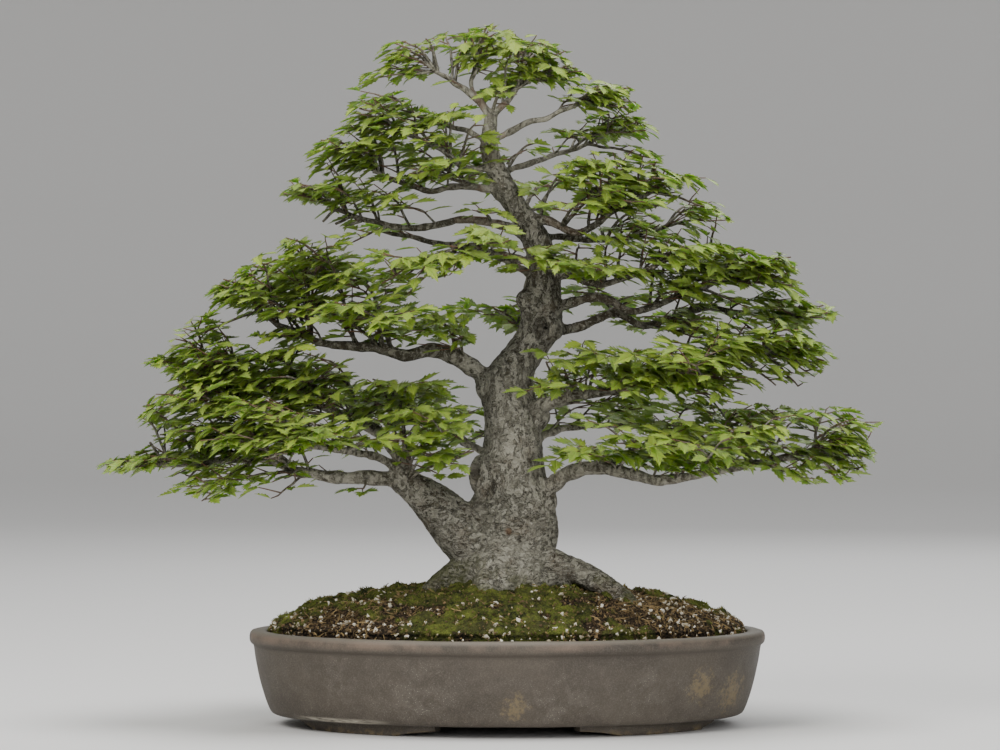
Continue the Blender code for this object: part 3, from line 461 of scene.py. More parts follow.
class WoodSettings(PropertyGroup):
    bark_dark: colour_property("Bark, dark", "Shaded bark", (0.062, 0.055, 0.038))
    bark_light: colour_property("Bark, light", "Weathered flakes", (0.385, 0.365, 0.295))
    young: colour_property("Young shoot", "Bark of this year's twigs", (0.150, 0.070, 0.040))
    voxel: length_property("Voxel", "Grid that the trunk and limbs are fused on", 0.0019)
    crack_depth: length_property("Crack depth", "Depth of the cracks between the bark's flakes", 0.0009)
    crack_spacing: length_property("Crack spacing", "Usual distance between cracks", 0.0065)
    lump: length_property("Lump height", "Height of the trunk's slow swellings", 0.0030)


class LeafSettings(PropertyGroup):
    deep: colour_property("Leaf, deep", "Leaves in the shade of the crown", (0.135, 0.213, 0.058))
    bright: colour_property("Leaf, bright", "Leaves in full light", (0.325, 0.435, 0.042))
    shortest: length_property("Shortest leaf", "Length of the smallest blade", 0.014)
    longest: length_property("Longest leaf", "Length of the largest blade", 0.0225)
    internode: length_property("Internode", "Distance between leaves along a twig", 0.0062)
    twig_spacing: length_property("Twig spacing", "Distance between twigs along a shoot", 0.0090)
    shoot_spacing: length_property("Shoot spacing", "Distance between shoots along a branch", 0.0150)
    seed: IntProperty(name="Seed", description="Which crown is grown", default=1807, min=0)


class StageSettings(PropertyGroup):
    floor: colour_property("Floor", "Colour of the floor and its rising edge", (0.80, 0.79, 0.77))
    key_power: amount_property("Key light", "Power of the large light at the front left", 64, unit="POWER")
    camera_distance: length_property("Camera distance", "From the camera to the trunk", CAMERA_REACH * MM)
    camera_height: length_property("Camera height", "Height of the camera over the floor", CAMERA_Z * MM)
    lens: amount_property("Lens", "Focal length of the camera", 132.4, unit="CAMERA")


class BonsaiSettings(PropertyGroup):
    pot: PointerProperty(type=PotSettings)
    soil: PointerProperty(type=SoilSettings)
    wood: PointerProperty(type=WoodSettings)
    leaf: PointerProperty(type=LeafSettings)
    stage: PointerProperty(type=StageSettings)


# ---------------------------------------------------------------- node trees
class Wire:
    """An output of a node. Its methods, and sums on it, add nodes to the tree that take its value further."""

    def __init__(self, tree, socket):
        self.tree = tree
        self.socket = socket

    def __getitem__(self, name):
        """Another output of the same node."""
        return Wire(self.tree, self.socket.node.outputs[name])

    def put(self, kind, feeds=None, **settings):
        return put(self.tree, kind, feeds, **settings)

    def math(self, operation, *terms):
        return self.put("ShaderNodeMath", dict(enumerate((self, *terms))), operation=operation)

    def __add__(self, other):
        return self.math("ADD", other)

    def __sub__(self, other):
        return self.math("SUBTRACT", other)

    def __mul__(self, other):
        return self.math("MULTIPLY", other)

    def __rsub__(self, other):
        return self.put("ShaderNodeMath", {0: other, 1: self}, operation="SUBTRACT")

    def __abs__(self):
        return self.math("ABSOLUTE")

    def most(self, other):
        return self.math("MAXIMUM", other)

    def fade(self, start, end, low=0.0, high=1.0):
        """Maps the value from start..end to low..high, held at both ends."""
        return self.put("ShaderNodeMapRange", {0: self, 1: start, 2: end, 3: low, 4: high}, clamp=True)

    def part(self, axis):
        return self.put("ShaderNodeSeparateXYZ", {0: self})[axis]

    def vector_math(self, operation, other):
        return self.put("ShaderNodeVectorMath", {0: self, 1: other}, operation=operation)

    def distance(self, centre):
        """Distance in metres from this place to a centre given in mm."""
        return self.vector_math("DISTANCE", Vector(centre) * MM)["Value"]

    def stretch(self, *scale):
        return self.vector_math("MULTIPLY", scale)

    def clouds(self, scale, detail=4.0, roughness=0.55):
        return self.put("ShaderNodeTexNoise", {"Vector": self, "Scale": scale, "Detail": detail,
                                               "Roughness": roughness})

    def ridged(self, scale):
        """Noise with sharp crests, from about 0 in its hollows to above 1."""
        return self.put("ShaderNodeTexNoise", {"Vector": self, "Scale": scale, "Detail": 4.0,
                                               "Roughness": 0.6, "Lacunarity": 2.1, "Offset": 1.0,
                                               "Gain": 1.4}, noise_type="RIDGED_MULTIFRACTAL")

    def cells(self, scale, feature="F1"):
        return self.put("ShaderNodeTexVoronoi", {"Vector": self, "Scale": scale}, feature=feature)

    def warp(self, scale, amount):
        """Pushes a place about by a soft noise, so that a pattern loses its regular look."""
        soft = self.put("ShaderNodeTexNoise", {"Vector": self, "Scale": scale, "Detail": 2.0})[1]
        offset = soft.vector_math("SUBTRACT", (0.5, 0.5, 0.5)).stretch(amount, amount, amount)
        return self.vector_math("ADD", offset)

    def attribute(self, name):
        return self.put("ShaderNodeAttribute", attribute_name=name)["Fac"]

    def named(self, name, kind="FLOAT"):
        """A geometry tree's named attribute."""
        return self.put("GeometryNodeInputNamedAttribute", {"Name": name}, data_type=kind)["Attribute"]


def put(tree, kind, feeds=None, **settings):
    """Adds a node, sets it up, and feeds its inputs with values or with wires. Gives its first output."""
    node = tree.nodes.new(kind)
    for name, value in settings.items():
        setattr(node, name, value)
    for key, value in (feeds or {}).items():
        if isinstance(value, Wire):
            tree.links.new(value.socket, node.inputs[key])
        else:
            node.inputs[key].default_value = value
    return Wire(tree, node.outputs[0]) if node.outputs else None


def mix(share, first, second):
    """Mixes two colours."""
    feeds = {0: share}
    for key, colour in ((6, first), (7, second)):
        feeds[key] = colour if isinstance(colour, Wire) else (*colour, 1.0)
    return share.put("ShaderNodeMix", feeds, data_type="RGBA")[2]


def new_material(name, roughness, specular):
    """A Principled material, and the place on the piece."""
    made = bpy.data.materials.new(name)
    made.use_nodes = True
    shader = made.node_tree.nodes["Principled BSDF"]
    shader.inputs["Roughness"].default_value = roughness
    shader.inputs["Specular IOR Level"].default_value = specular
    return made, put(made.node_tree, "ShaderNodeTexCoord")["Object"]


def join_shader(made, colour, height, bump, roughness=None):
    """Feeds a material's shader its colour, a bump from the height, and its roughness."""
    inputs = made.node_tree.nodes["Principled BSDF"].inputs
    relief = height.put("ShaderNodeBump", {"Height": height, "Distance": bump, "Strength": 1.0})
    for name, wire in (("Base Color", colour), ("Normal", relief), ("Roughness", roughness)):
        if wire:
            made.node_tree.links.new(wire.socket, inputs[name])
    return made


# ---------------------------------------------------------------- materials
def clay_material(pot):
    made, place = new_material("unglazed_clay", 0.62, 0.4)
    height = place.part("Z")
    broad = place.stretch(1, 1, 2.2).clouds(11, 5, 0.6)
    colour = mix(broad.fade(0.32, 0.68), pot.clay_dark, pot.clay_light)
    sandy = place.clouds(900, 2, 0.6)
    colour = mix(sandy.fade(0.42, 0.75, 0, 0.45), colour, (0.16, 0.135, 0.105))
    drips = place.stretch(60, 60, 7).clouds(1, 3)
    colour = mix(drips.fade(0.5, 0.8, 0, 0.3), colour, (0.046, 0.037, 0.029))
    patch = place.clouds(95, 5, 0.7)
    torn = place.clouds(210, 5, 0.75)
    for centre, reach in OCHRE_STAINS:
        near = place.distance(centre).fade(reach * 1.3 * MM, 0.0, 0.0, 0.24)
        mark = (torn + near).fade(0.56, 0.74, 0, 0.7) * near.fade(0.0, 0.06)
        colour = mix(mark, colour, pot.ochre)
    low = height.fade(0.066, 0.042, 0.15, 0.42)
    for centre, reach in PALE_SPATTER:
        low = low.most(place.distance(centre).fade(reach * MM, reach * 0.3 * MM, 0, 0.95))
    low *= place.clouds(75, 4, 0.7).fade(0.44, 0.60)
    colour = mix(place.cells(620).fade(0.24, 0.10) * low, colour, (0.36, 0.33, 0.27))
    colour = mix(low * 0.22, colour, (0.20, 0.18, 0.15))
    # The top of the lip is paler: partly wear, partly a painted highlight.
    colour = mix(height.fade(0.0735, 0.0772) * 0.62, colour, (0.275, 0.24, 0.195))
    # A warm, mottled painted highlight on the outer face of the lip.
    warm_lip_highlight = height.fade(0.068, 0.072) * height.fade(0.0768, 0.0745)
    warm_lip_highlight *= place.clouds(26, 4, 0.6).fade(0.42, 0.60, 0, 0.5)
    colour = mix(warm_lip_highlight, colour, (0.245, 0.175, 0.130))
    # Painted shade in the groove under the lip.
    under_lip_shade = height.fade(0.0620, 0.0655) * height.fade(0.0690, 0.0662)
    colour = mix(under_lip_shade * 0.55, colour, (0.055, 0.044, 0.034))
    centre, reach = LIME_EDGE
    near = place.distance(centre).fade(reach * MM, reach * 0.4 * MM)
    line = height.fade(0.0138, 0.0118) * height.fade(0.0094, 0.0104) * near
    line *= place.stretch(55, 55, 420).clouds(1, 3, 0.6).fade(0.40, 0.58, 0, 0.75)
    colour = mix(line, colour, pot.lime)
    colour = mix(height.fade(0.0058, 0.0022) * patch.fade(0.46, 0.6, 0, 0.8), colour, pot.ochre)
    return join_shader(made, colour, sandy * 0.6 + patch * 0.8, 0.00035, broad.fade(0.3, 0.7, 0.52, 0.7))


def earth_material(soil):
    """Damp crumbs of soil in many browns, under a green skin where the moss attribute is high."""
    made, place = new_material("damp_earth", 0.95, 0.2)
    gaps = place.warp(300, 0.002).cells(480)
    crumbs = gaps.put("ShaderNodeSeparateColor", {0: gaps["Color"]})
    colour = mix(place.clouds(150, 4).fade(0.3, 0.7), soil.earth, (0.085, 0.055, 0.030))
    colour = mix(crumbs.fade(0.45, 0.95, 0, 0.9), colour, (0.175, 0.118, 0.066))
    # Near black between the crumbs: painted shade in the gaps.
    colour = mix(gaps.fade(0.35, 0.62, 0, 0.9), colour, (0.012, 0.009, 0.006))
    fuzz = place.clouds(900, 3, 0.75)
    tuft = fuzz.fade(0.30, 0.70, -0.15, 0.45) + place.clouds(75, 4, 0.65).fade(0.30, 0.70, -0.25, 0.75)
    # The moss skin runs from near black, painted shade between the tufts, to light green on them.
    green = mix(tuft.fade(0, 1), (0.014, 0.018, 0.007), soil.moss_light)
    green = mix(place.clouds(52, 3).fade(0.48, 0.66, 0, 0.6), green, (0.062, 0.056, 0.024))
    covered = (place.attribute("moss") + fuzz.fade(0.3, 0.7, -0.25, 0.25)).fade(0.35, 0.65)
    colour = mix(covered, colour, green)
    return join_shader(made, colour, 1.0 - gaps + fuzz * covered * 1.5, 0.0014)


def tinted_material(name, dark, light, scale, bump, own=1.0, mottle=0.25):
    """A small thing's finish: each one takes its own tint from the tone attribute, and is mottled."""
    made, place = new_material(name, 0.85, 0.25)
    tone = place.attribute("tone") * own + (0.5 - 0.5 * own)
    spots = place.clouds(scale, 4, 0.65)
    mottled = tone + spots.fade(0.30, 0.70, -mottle, mottle)
    return join_shader(made, mix(mottled.fade(0, 1), dark, light), spots, bump)


def bark_material(wood):
    """Grey scaly bark on old wood that turns to smooth reddish-brown on the young twigs."""
    made, place = new_material("zelkova_bark", 0.85, 0.25)
    age = place.attribute("age")
    across, height = place.part("X"), place.part("Z")
    moved = place.warp(60, 0.010).warp(260, 0.004)
    flat = moved.stretch(1, 1, 1.35)
    tones = flat.put("ShaderNodeSeparateColor", {0: flat.cells(230)["Color"]})
    ridges = moved.stretch(1, 1, 1.7).ridged(190)
    fine = flat.clouds(760, 3, 0.7)
    upright, level = [moved.stretch(1, 1, tall).clouds(scale, 3, 0.6)
                      for tall, scale in ((0.42, 215), (2.2, 170))]
    plates = flat.put("ShaderNodeMix", {0: height.fade(0.200, 0.160), 2: upright, 3: level},
                      data_type="FLOAT")
    ledge = plates.fade(0.47, 0.53)
    blotch = place.stretch(1, 1, 0.7).clouds(48, 5, 0.65)
    shade = blotch.fade(0.30, 0.70, 0.27, 0.63) + (tones * 0.20 - 0.10)
    shade += fine.fade(0.28, 0.72, -0.14, 0.14)
    shade += ledge * 0.40 - 0.17
    shade += ridges.fade(0.2, 1.2, -0.18, 0.22)
    shade += place.distance(PALE_BARK).fade(0.034, 0.010, 0, 0.22)
    # Painted shade: darker from 32 to 50 mm out to either side of the trunk's axis, on the limb, roots and
    # branches.
    shade -= abs(across - 0.020).fade(0.032, 0.050, 0, 0.20)
    # Painted shade of the crown: darker on the trunk between 0.25 m and 0.47 m high.
    shade -= height.fade(0.25, 0.32) * height.fade(0.47, 0.40) * 0.32
    colour = mix(shade.fade(0, 1), wood.bark_dark, wood.bark_light)
    warm = place.clouds(34, 4, 0.6).fade(0.52, 0.66, 0, 0.5)
    colour = mix(warm * age, colour, (0.115, 0.082, 0.050))
    cracks = flat.cells(230, "DISTANCE_TO_EDGE").fade(0.070, 0.01)
    cracks *= moved.clouds(120, 3, 0.65).fade(0.48, 0.60)
    furrows = moved.stretch(1, 1, 0.55).ridged(130).fade(0.24, 0.12)
    rift = abs(plates - 0.475).fade(0.016, 0.005) * place.clouds(70, 3).fade(0.38, 0.52)
    dark = (cracks * 0.6).most(furrows.most(rift)) * age.fade(0.4, 0.95, 0.15, 0.9)
    colour = mix(dark, colour, (0.034, 0.028, 0.020))
    # Paler on the crests of the ridges, and a painted highlight along the edges of the plates on old bark.
    pale = fine.fade(0.56, 0.68) * ridges.fade(0.5, 1.1, 0, 0.7)
    pale = pale.most(abs(plates - 0.530).fade(0.030, 0.008, 0, 0.40) * age.fade(0.5, 1.0))
    colour = mix(pale, colour, (0.47, 0.45, 0.385))
    # Painted shade in the crotches and wounds.
    for centre, reach in SHADED_BARK:
        near = place.distance(centre).fade(reach * MM, reach * 0.3 * MM, 0, 0.62)
        colour = mix(near * fine.fade(0.35, 0.55, 0.6, 1.0), colour, (0.045, 0.037, 0.026))
    skyward = place.put("ShaderNodeNewGeometry")["Normal"].part("Z")
    damp = place.clouds(42, 5, 0.7) + skyward * 0.10
    damp += height.fade(0.150, 0.108, 0, 0.26)
    damp += across.fade(0.045, -0.030, -0.16, 0.06)
    colour = mix(damp.fade(0.62, 0.80, 0, 0.8) * height.fade(0.26, 0.13), colour, (0.082, 0.088, 0.030))
    colour = mix(place.distance(SCAR).fade(0.0042, 0.0018, 0, 0.8), colour, (0.150, 0.080, 0.038))
    colour = mix(age.fade(0.45, 0.05), colour, wood.young)
    rise = (ridges * 0.45 + fine * 0.7 + (ledge * 1.1 + tones * 0.2) - dark) * age.fade(0.2, 0.9, 0.25, 1.0)
    return join_shader(made, colour, rise, 0.0011, age.fade(0.0, 0.5, 0.55, 0.88))


def leaf_material(leaf):
    """Satin leaf with a pale rib and side veins; the lower skin is duller. The blade's own map gives u
    across it, one higher on the lower skin, and v from base to tip."""
    made, place = new_material("zelkova_leaf", 0.45, 0.28)
    spot = place.put("ShaderNodeUVMap", uv_map="blade")
    under = spot.part("X").math("GREATER_THAN", 1.0)
    across = abs(spot.part("X").math("FRACT") - 0.5) * 2.0
    along = spot.part("Y") * 8.0 - across * 1.5
    veins = abs(along.math("FRACT") - 0.5).fade(0.10, 0.0).most(across.fade(0.10, 0.03))
    # Deep to bright green by the tone attribute, which holds random tone together with painted light and
    # shade.
    colour = mix(place.attribute("tone"), leaf.deep, leaf.bright)
    colour = mix(veins * 0.35, colour, (0.38, 0.48, 0.10))
    # The lower skin is lighter green: paler in itself, and partly painted light that shines through the
    # blade.
    colour = mix(under * 0.65, colour, (0.25, 0.36, 0.070))
    for name, value in (("Weight", 0.30), ("Radius", (0.35, 0.8, 0.08)), ("Scale", 0.002)):
        made.node_tree.nodes["Principled BSDF"].inputs["Subsurface " + name].default_value = value
    return join_shader(made, colour, 1.0 - veins, 0.0003, under * 0.2 + 0.40)


def plastic_material():
    made, place = new_material("drain_plastic", 0.5, 0.5)
    scuffs = place.clouds(700, 4, 0.7)
    dusty = place.clouds(160, 3).fade(0.45, 0.7, 0, 0.6)
    colour = mix(dusty, (0.012, 0.012, 0.012), (0.075, 0.060, 0.045))
    return join_shader(made, colour, scuffs, 0.0001, scuffs.fade(0.3, 0.7, 0.35, 0.7))


def floor_material(stage):
    made, place = new_material("pale_floor", 0.85, 0.2)
    tint = place.clouds(0.7, 2).fade(0.3, 0.7, 0.0, 0.12)
    return join_shader(made, mix(tint, stage.floor, (0.74, 0.73, 0.71)), place.clouds(300, 2), 0.00005)


# ---------------------------------------------------------------- geometry node trees
def new_geometry_tree(name, *inputs):
    """The inputs of a new geometry tree: a Geometry, the ones that are named here, and a Material."""
    tree = bpy.data.node_groups.new(name, "GeometryNodeTree")
    tree.interface.new_socket("Geometry", in_out="OUTPUT", socket_type="NodeSocketGeometry")
    for title, kind in (("Geometry", "Geometry"), *inputs, ("Material", "Material")):
        tree.interface.new_socket(title, in_out="INPUT", socket_type="NodeSocket" + kind)
    return put(tree, "NodeGroupInput")


def close_tree(given, geometry):
    """Ends a tree with real faces that have the given material."""
    real = given.put("GeometryNodeRealizeInstances", {0: geometry})
    finished = given.put("GeometryNodeSetMaterial", {"Geometry": real, "Material": given["Material"]})
    given.put("NodeGroupOutput", {0: finished})
    return given.tree


def pushed_out(geometry, distance_out):
    """Moves the points along their normals, and smooths the shading."""
    normal = geometry.put("GeometryNodeInputNormal")
    offset = geometry.put("ShaderNodeVectorMath", {0: normal, "Scale": distance_out}, operation="SCALE")
    moved = geometry.put("GeometryNodeSetPosition", {"Geometry": geometry, "Offset": offset})
    return geometry.put("GeometryNodeSetShadeSmooth", {"Geometry": moved})


def relief_tree():
    """Slow swellings all over a surface, and cracks between flakes where the age attribute is high."""
    given = new_geometry_tree("Bark relief", ("Lump height", "Float"), ("Crack depth", "Float"),
                              ("Crack spacing", "Float"))
    depth = given["Crack depth"]
    place = given.put("GeometryNodeInputPosition")
    lumps = (place.stretch(1, 1, 0.6).clouds(42, 3, 0.5) - 0.5) * given["Lump height"]
    moved = place.warp(70, 0.012)
    spacing = given.put("ShaderNodeMath", {0: 1.0, 1: given["Crack spacing"]}, operation="DIVIDE")
    scales = given.put("FunctionNodeSeparateColor",
                       {0: moved.stretch(1, 1, 1.3).cells(spacing, "SMOOTH_F1")["Color"]})
    furrows = moved.stretch(1, 1, 0.6).ridged(105).fade(0.10, 0.55, -1.0, 0.35) * depth
    rough = (moved.clouds(300, 3, 0.65) - 0.5) * (depth * 2.2)
    total = (lumps + (scales - 0.5) * depth) + (furrows + rough)
    return close_tree(given, pushed_out(given["Geometry"], total * given.named("age")))


def ground_tree():
    """Raises crumbs on the soil, and a finer nap on its moss, where the top attribute is high."""
    given = new_geometry_tree("Ground relief", ("Grain height", "Float"))
    place = given.put("GeometryNodeInputPosition")
    crumbs = place.warp(200, 0.004).cells(300).fade(0.1, 0.6, 1.0, -0.4)
    nap = place.clouds(420, 3, 0.7).fade(0.3, 0.7, -0.7, 1.3)
    rise = given.put("ShaderNodeMix", {0: given.named("moss"), 2: crumbs, 3: nap}, data_type="FLOAT")
    return close_tree(given, pushed_out(given["Geometry"], rise * given["Grain height"] * given.named("top")))


def stem_tree():
    """Round stems along a mesh of edges, as thick as the thick attribute says."""
    given = new_geometry_tree("Stems along paths", ("Sides", "Int"), ("Lump height", "Float"))
    curve = given.put("GeometryNodeMeshToCurve", {"Mesh": given["Geometry"]})
    curve = given.put("GeometryNodeSetCurveRadius", {"Curve": curve, "Radius": given.named("thick")})
    ring = given.put("GeometryNodeCurvePrimitiveCircle", {"Resolution": given["Sides"], "Radius": 1.0})
    body = given.put("GeometryNodeCurveToMesh", {
        "Curve": curve, "Profile Curve": ring, "Scale": given.named("thick"), "Fill Caps": True})
    lumps = given.put("GeometryNodeInputPosition").clouds(160, 2, 0.5) - 0.5
    lumps = lumps * given["Lump height"] * given.named("age")
    return close_tree(given, pushed_out(body, lumps))


def picked(given, points, **feeds):
    """The given shapes on points, each point with the one that its index picks."""
    shapes = given.put("GeometryNodeCollectionInfo", {"Collection": given["Shapes"],
                                                      "Separate Children": True, "Reset Children": True})
    feeds = {key.replace("_", " "): value for key, value in feeds.items()}
    return given.put("GeometryNodeInstanceOnPoints", {
        "Points": points, "Instance": shapes, "Pick Instance": True, **feeds})


def foliage_tree():
    """A leaf at each point, along its aim attribute, its upper side towards its face attribute."""
    given = new_geometry_tree("Leaves on twigs", ("Shapes", "Collection"))
    aim, face = [given.named(name, "FLOAT_VECTOR") for name in ("aim", "face")]
    turn = given.put("FunctionNodeAxesToRotation", {0: aim, 1: face}, primary_axis="Y", secondary_axis="Z")
    return close_tree(given, picked(given, given["Geometry"], Instance_Index=given.named("shape", "INT"),
                                    Rotation=turn, Scale=given.named("size")))


def chance(given, output, feeds, kind):
    """A random value for each item."""
    return given.put("FunctionNodeRandomValue", {"Seed": given["Seed"], **feeds}, data_type=kind)[output]


def cover_tree():
    """Small shapes strewn over a surface, as dense as the mask attribute says, each with its own tone."""
    given = new_geometry_tree(
        "Ground cover", ("Shapes", "Collection"), ("Mask", "String"), ("Density", "Float"),
        ("Smallest", "Float"), ("Largest", "Float"), ("Sink", "Float"), ("Tilt", "Float"), ("Seed", "Int"))
    points = given.put("GeometryNodeDistributePointsOnFaces", {
        "Mesh": given["Geometry"], "Density": given["Density"] * given.named(given["Mask"]),
        "Seed": given["Seed"]})
    size = chance(given, 1, {2: 0.0, 3: 1.0}, "FLOAT").math("POWER", 2.0)
    size = size.fade(0.0, 1.0, given["Smallest"], given["Largest"])
    tilt = given["Tilt"] * math.pi
    back = tilt * -1.0
    reach = given.put("ShaderNodeCombineXYZ", {0: tilt, 1: tilt, 2: math.pi})
    other = given.put("ShaderNodeCombineXYZ", {0: back, 1: back, 2: -math.pi})
    spin = chance(given, 0, {0: other, 1: reach}, "FLOAT_VECTOR")
    turn = given.put("FunctionNodeRotateRotation", {0: points["Rotation"], 1: spin}, rotation_space="LOCAL")
    placed = picked(given, points, Instance_Index=chance(given, 2, {4: 0, 5: 5}, "INT"), Rotation=turn,
                    Scale=size)
    lowered = given.put("GeometryNodeTranslateInstances", {
        "Instances": placed, "Translation": given.put("ShaderNodeCombineXYZ", {2: given["Sink"]}),
        "Local Space": False})
    tone = chance(given, 1, {2: 0.0, 3: 1.0, "Seed": TONE_SEED}, "FLOAT")
    kept = given.put("GeometryNodeStoreNamedAttribute", {"Geometry": lowered, "Name": "tone", "Value": tone},
                     data_type="FLOAT", domain="INSTANCE")
    return close_tree(given, kept)


def run_tree(item, tree, values):
    """Runs a geometry tree on an object with these named inputs, and keeps its result as a plain mesh."""
    modifier = item.modifiers.new(tree.name, "NODES")
    modifier.node_group = tree
    for socket in tree.interface.items_tree:
        if socket.item_type == "SOCKET" and socket.in_out == "INPUT" and socket.name in values:
            modifier[socket.identifier] = values[socket.name]
    settle(item)


def settle(item):
    """Replaces an object's mesh with the one its modifiers give."""
    evaluated = item.evaluated_get(bpy.context.evaluated_depsgraph_get())
    mesh = bpy.data.meshes.new_from_object(evaluated)
    item.modifiers.clear()
    item.data = mesh


# ---------------------------------------------------------------- meshes
def turns(count, across=1.0, deep=1.0):
    """Pairs of x and y round an ellipse with these half axes."""
    return [(across * math.cos(math.tau * i / count), deep * math.sin(math.tau * i / count))
            for i in range(count)]


def skin(bm, rings):
    """Joins rings of points that have the same count with faces, and gives their rows of vertices."""
    rows = [[bm.verts.new(point) for point in ring] for ring in rings]
    for low, high in zip(rows, rows[1:]):
        for i in range(len(low)):
            j = (i + 1) % len(low)
            bm.faces.new((low[i], low[j], high[j], high[i]))
    return rows


def loft_into(bm, rings):
    """Adds a closed skin through rings, with a fan over each end."""
    rows = skin(bm, rings)
    count = len(rows[0])
    for row in (rows[0], rows[-1]):
        centre = bm.verts.new(sum((vert.co for vert in row), Vector()) / count)
        for i in range(count):
            bm.faces.new((row[i], row[(i + 1) % count], centre))


def link_mesh(name, mesh):
    made = bpy.data.objects.new(name, mesh)
    bpy.context.scene.collection.objects.link(made)
    return made


def new_object(name, bm, finish=None):
    """Puts a bmesh in the scene as an object, its faces pointing outwards."""
    bmesh.ops.recalc_face_normals(bm, faces=bm.faces)
    mesh = bpy.data.meshes.new(name)
    bm.to_mesh(mesh)
    bm.free()
    if finish:
        mesh.materials.append(finish)
    return link_mesh(name, mesh)


def lofted_object(name, rings):
    bm = bmesh.new()
    loft_into(bm, rings)
    return new_object(name, bm)


def combine(target, others, operation):
    """One Boolean of a collection of objects on the target, applied, with the others removed."""
    group = bpy.data.collections.new(target.name + "_group")
    bpy.context.scene.collection.children.link(group)
    for other in others:
        bpy.context.scene.collection.objects.unlink(other)
        group.objects.link(other)
    modifier = target.modifiers.new("combine", "BOOLEAN")
    modifier.operand_type = "COLLECTION"
    modifier.collection = group
    modifier.operation = operation
    modifier.solver = "MANIFOLD"
    settle(target)
    for other in others:
        bpy.data.objects.remove(other, do_unlink=True)
    bpy.data.collections.remove(group)


def smooth_path(rows, step):
    """Rows of x, y, z and more, resampled about every step along a smooth curve through them."""
    rows = np.array(rows, float)
    held = np.vstack([2 * rows[0] - rows[1], rows, 2 * rows[-1] - rows[-2]])
    found = []
    for a, b, c, d in zip(held, held[1:], held[2:], held[3:]):
        count = max(1, round(np.linalg.norm((c - b)[:3]) / step))
        for t in np.arange(count) / count:
            found.append(0.5 * (2 * b + (c - a) * t + (2 * a - 5 * b + 4 * c - d) * t ** 2
                                + (3 * b - a - 3 * c + d) * t ** 3))
    found.append(rows[-1])
    return np.array(found)


def tube_rings(rows, sides):
    """Rings round a path of x, y, z, radius."""
    rings = []
    across = None
    for i, row in enumerate(rows):
        along = Vector((rows[min(i + 1, len(rows) - 1)] - rows[max(i - 1, 0)])[:3]).normalized()
        across = across or along.orthogonal()
        across = (across - along * across.dot(along)).normalized()
        upright = along.cross(across)
        rings.append([Vector(row[:3]) + (across * x + upright * y) * row[3] for x, y in turns(sides)])
    return rings


def set_attribute(mesh, name, values, kind="FLOAT"):
    """Stores one value for each point of a mesh."""
    made = mesh.attributes.new(name, kind, "POINT")
    key = "vector" if kind == "FLOAT_VECTOR" else "value"
    made.data.foreach_set(key, np.array(values).ravel())





def hand_over(item, slot, *replaced):
    """Parents a finished piece to the root body, and hides the nodes that it stands for. The slot is not
    used.
    """
    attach(item, "root")
    if replaced:
        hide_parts(*replaced)


# ---------------------------------------------------------------- pot
def oval_ring(half_length, half_depth, height, count):
    """A level oval ring round the pot's centre. Sizes in mm."""
    return [Vector((POT_CENTRE_X + x, y, height)) * MM for x, y in turns(count, half_length, half_depth)]


def foot_drop(share):
    """Height in mm of a foot's underside along its length: flat, with a raised scroll at each end."""
    from_end = min(share, 1 - share)
    if from_end >= SCALLOP_SHARE:
        return 0.0
    return SCALLOP_RISE * (1 - from_end / SCALLOP_SHARE) ** 0.6


def foot(side_x, side_y):
    """One bracket foot, with its lower edges eased."""
    outer = (RIM_HALF_LENGTH - FOOT_INSET, RIM_HALF_DEPTH - FOOT_INSET_AT_FRONT)
    start = math.asin(SIDE_GAP_HALF / outer[1])
    end = math.acos(FRONT_GAP_HALF / outer[0])
    rings = []
    for step in range(41):
        angle = start + (end - start) * step / 40
        drop = foot_drop(step / 40)
        ring = []
        for inset, height in ((0, FOOT_TOP), (0, drop + 1.1), (0.3, drop + 0.4), (1.1, drop),
                              (FOOT_WIDTH - 1, drop), (FOOT_WIDTH, drop + 1), (FOOT_WIDTH, FOOT_TOP)):
            ring.append(Vector((POT_CENTRE_X + side_x * (outer[0] - inset) * math.cos(angle),
                                side_y * (outer[1] - inset) * math.sin(angle), height)) * MM)
        rings.append(ring)
    return lofted_object("foot", rings)


class BONSAI_OT_pot(Operator):
    """Builds the oval clay pot with its lip, drain holes and bracket feet"""
    bl_idname = "bonsai.pot"
    bl_label = "Pot"

    def execute(self, context):
        settings = context.scene.bonsai.pot
        profile = smooth_path([(inset, height, 0) for inset, height in POT_PROFILE], 2.6)
        rings = [oval_ring(RIM_HALF_LENGTH - row[0], RIM_HALF_DEPTH - row[0], row[1], 160) for row in profile]
        pot = lofted_object("pot_body", rings)
        combine(pot, [foot(x, y) for x in (-1, 1) for y in (-1, 1)], "UNION")
        holes = []
        for side in (-1, 1):
            rows = np.array([(POT_CENTRE_X + side * DRAIN_OFFSET, 0, z, DRAIN_RADIUS) for z in (4, 22)]) * MM
            holes.append(lofted_object("drain", tube_rings(rows, 48)))
        combine(pot, holes, "DIFFERENCE")
        set_attribute(pot.data, "age", [1.0] * len(pot.data.vertices))
        run_tree(pot, relief_tree(), {"Lump height": settings.unevenness * 2, "Crack depth": 0.0,
                                      "Crack spacing": 0.05, "Material": clay_material(settings)})
        pot.data.shade_smooth()
        pot.data.set_sharp_from_angle(angle=math.radians(SHARP_ANGLE))
        hand_over(pot, "clay", "pot")
        return {"FINISHED"}


class BONSAI_OT_drain_mesh(Operator):
    """Gives the two plastic drain meshes their finish"""
    bl_idname = "bonsai.drain_mesh"
    bl_label = "Drain mesh"

    def execute(self, context):
        plastic = plastic_material()
        for name in ("drain_mesh_left", "drain_mesh_right"):
            mesh = frame["nodes"][name].data
            mesh.materials.clear()
            mesh.materials.append(plastic)
        return {"FINISHED"}


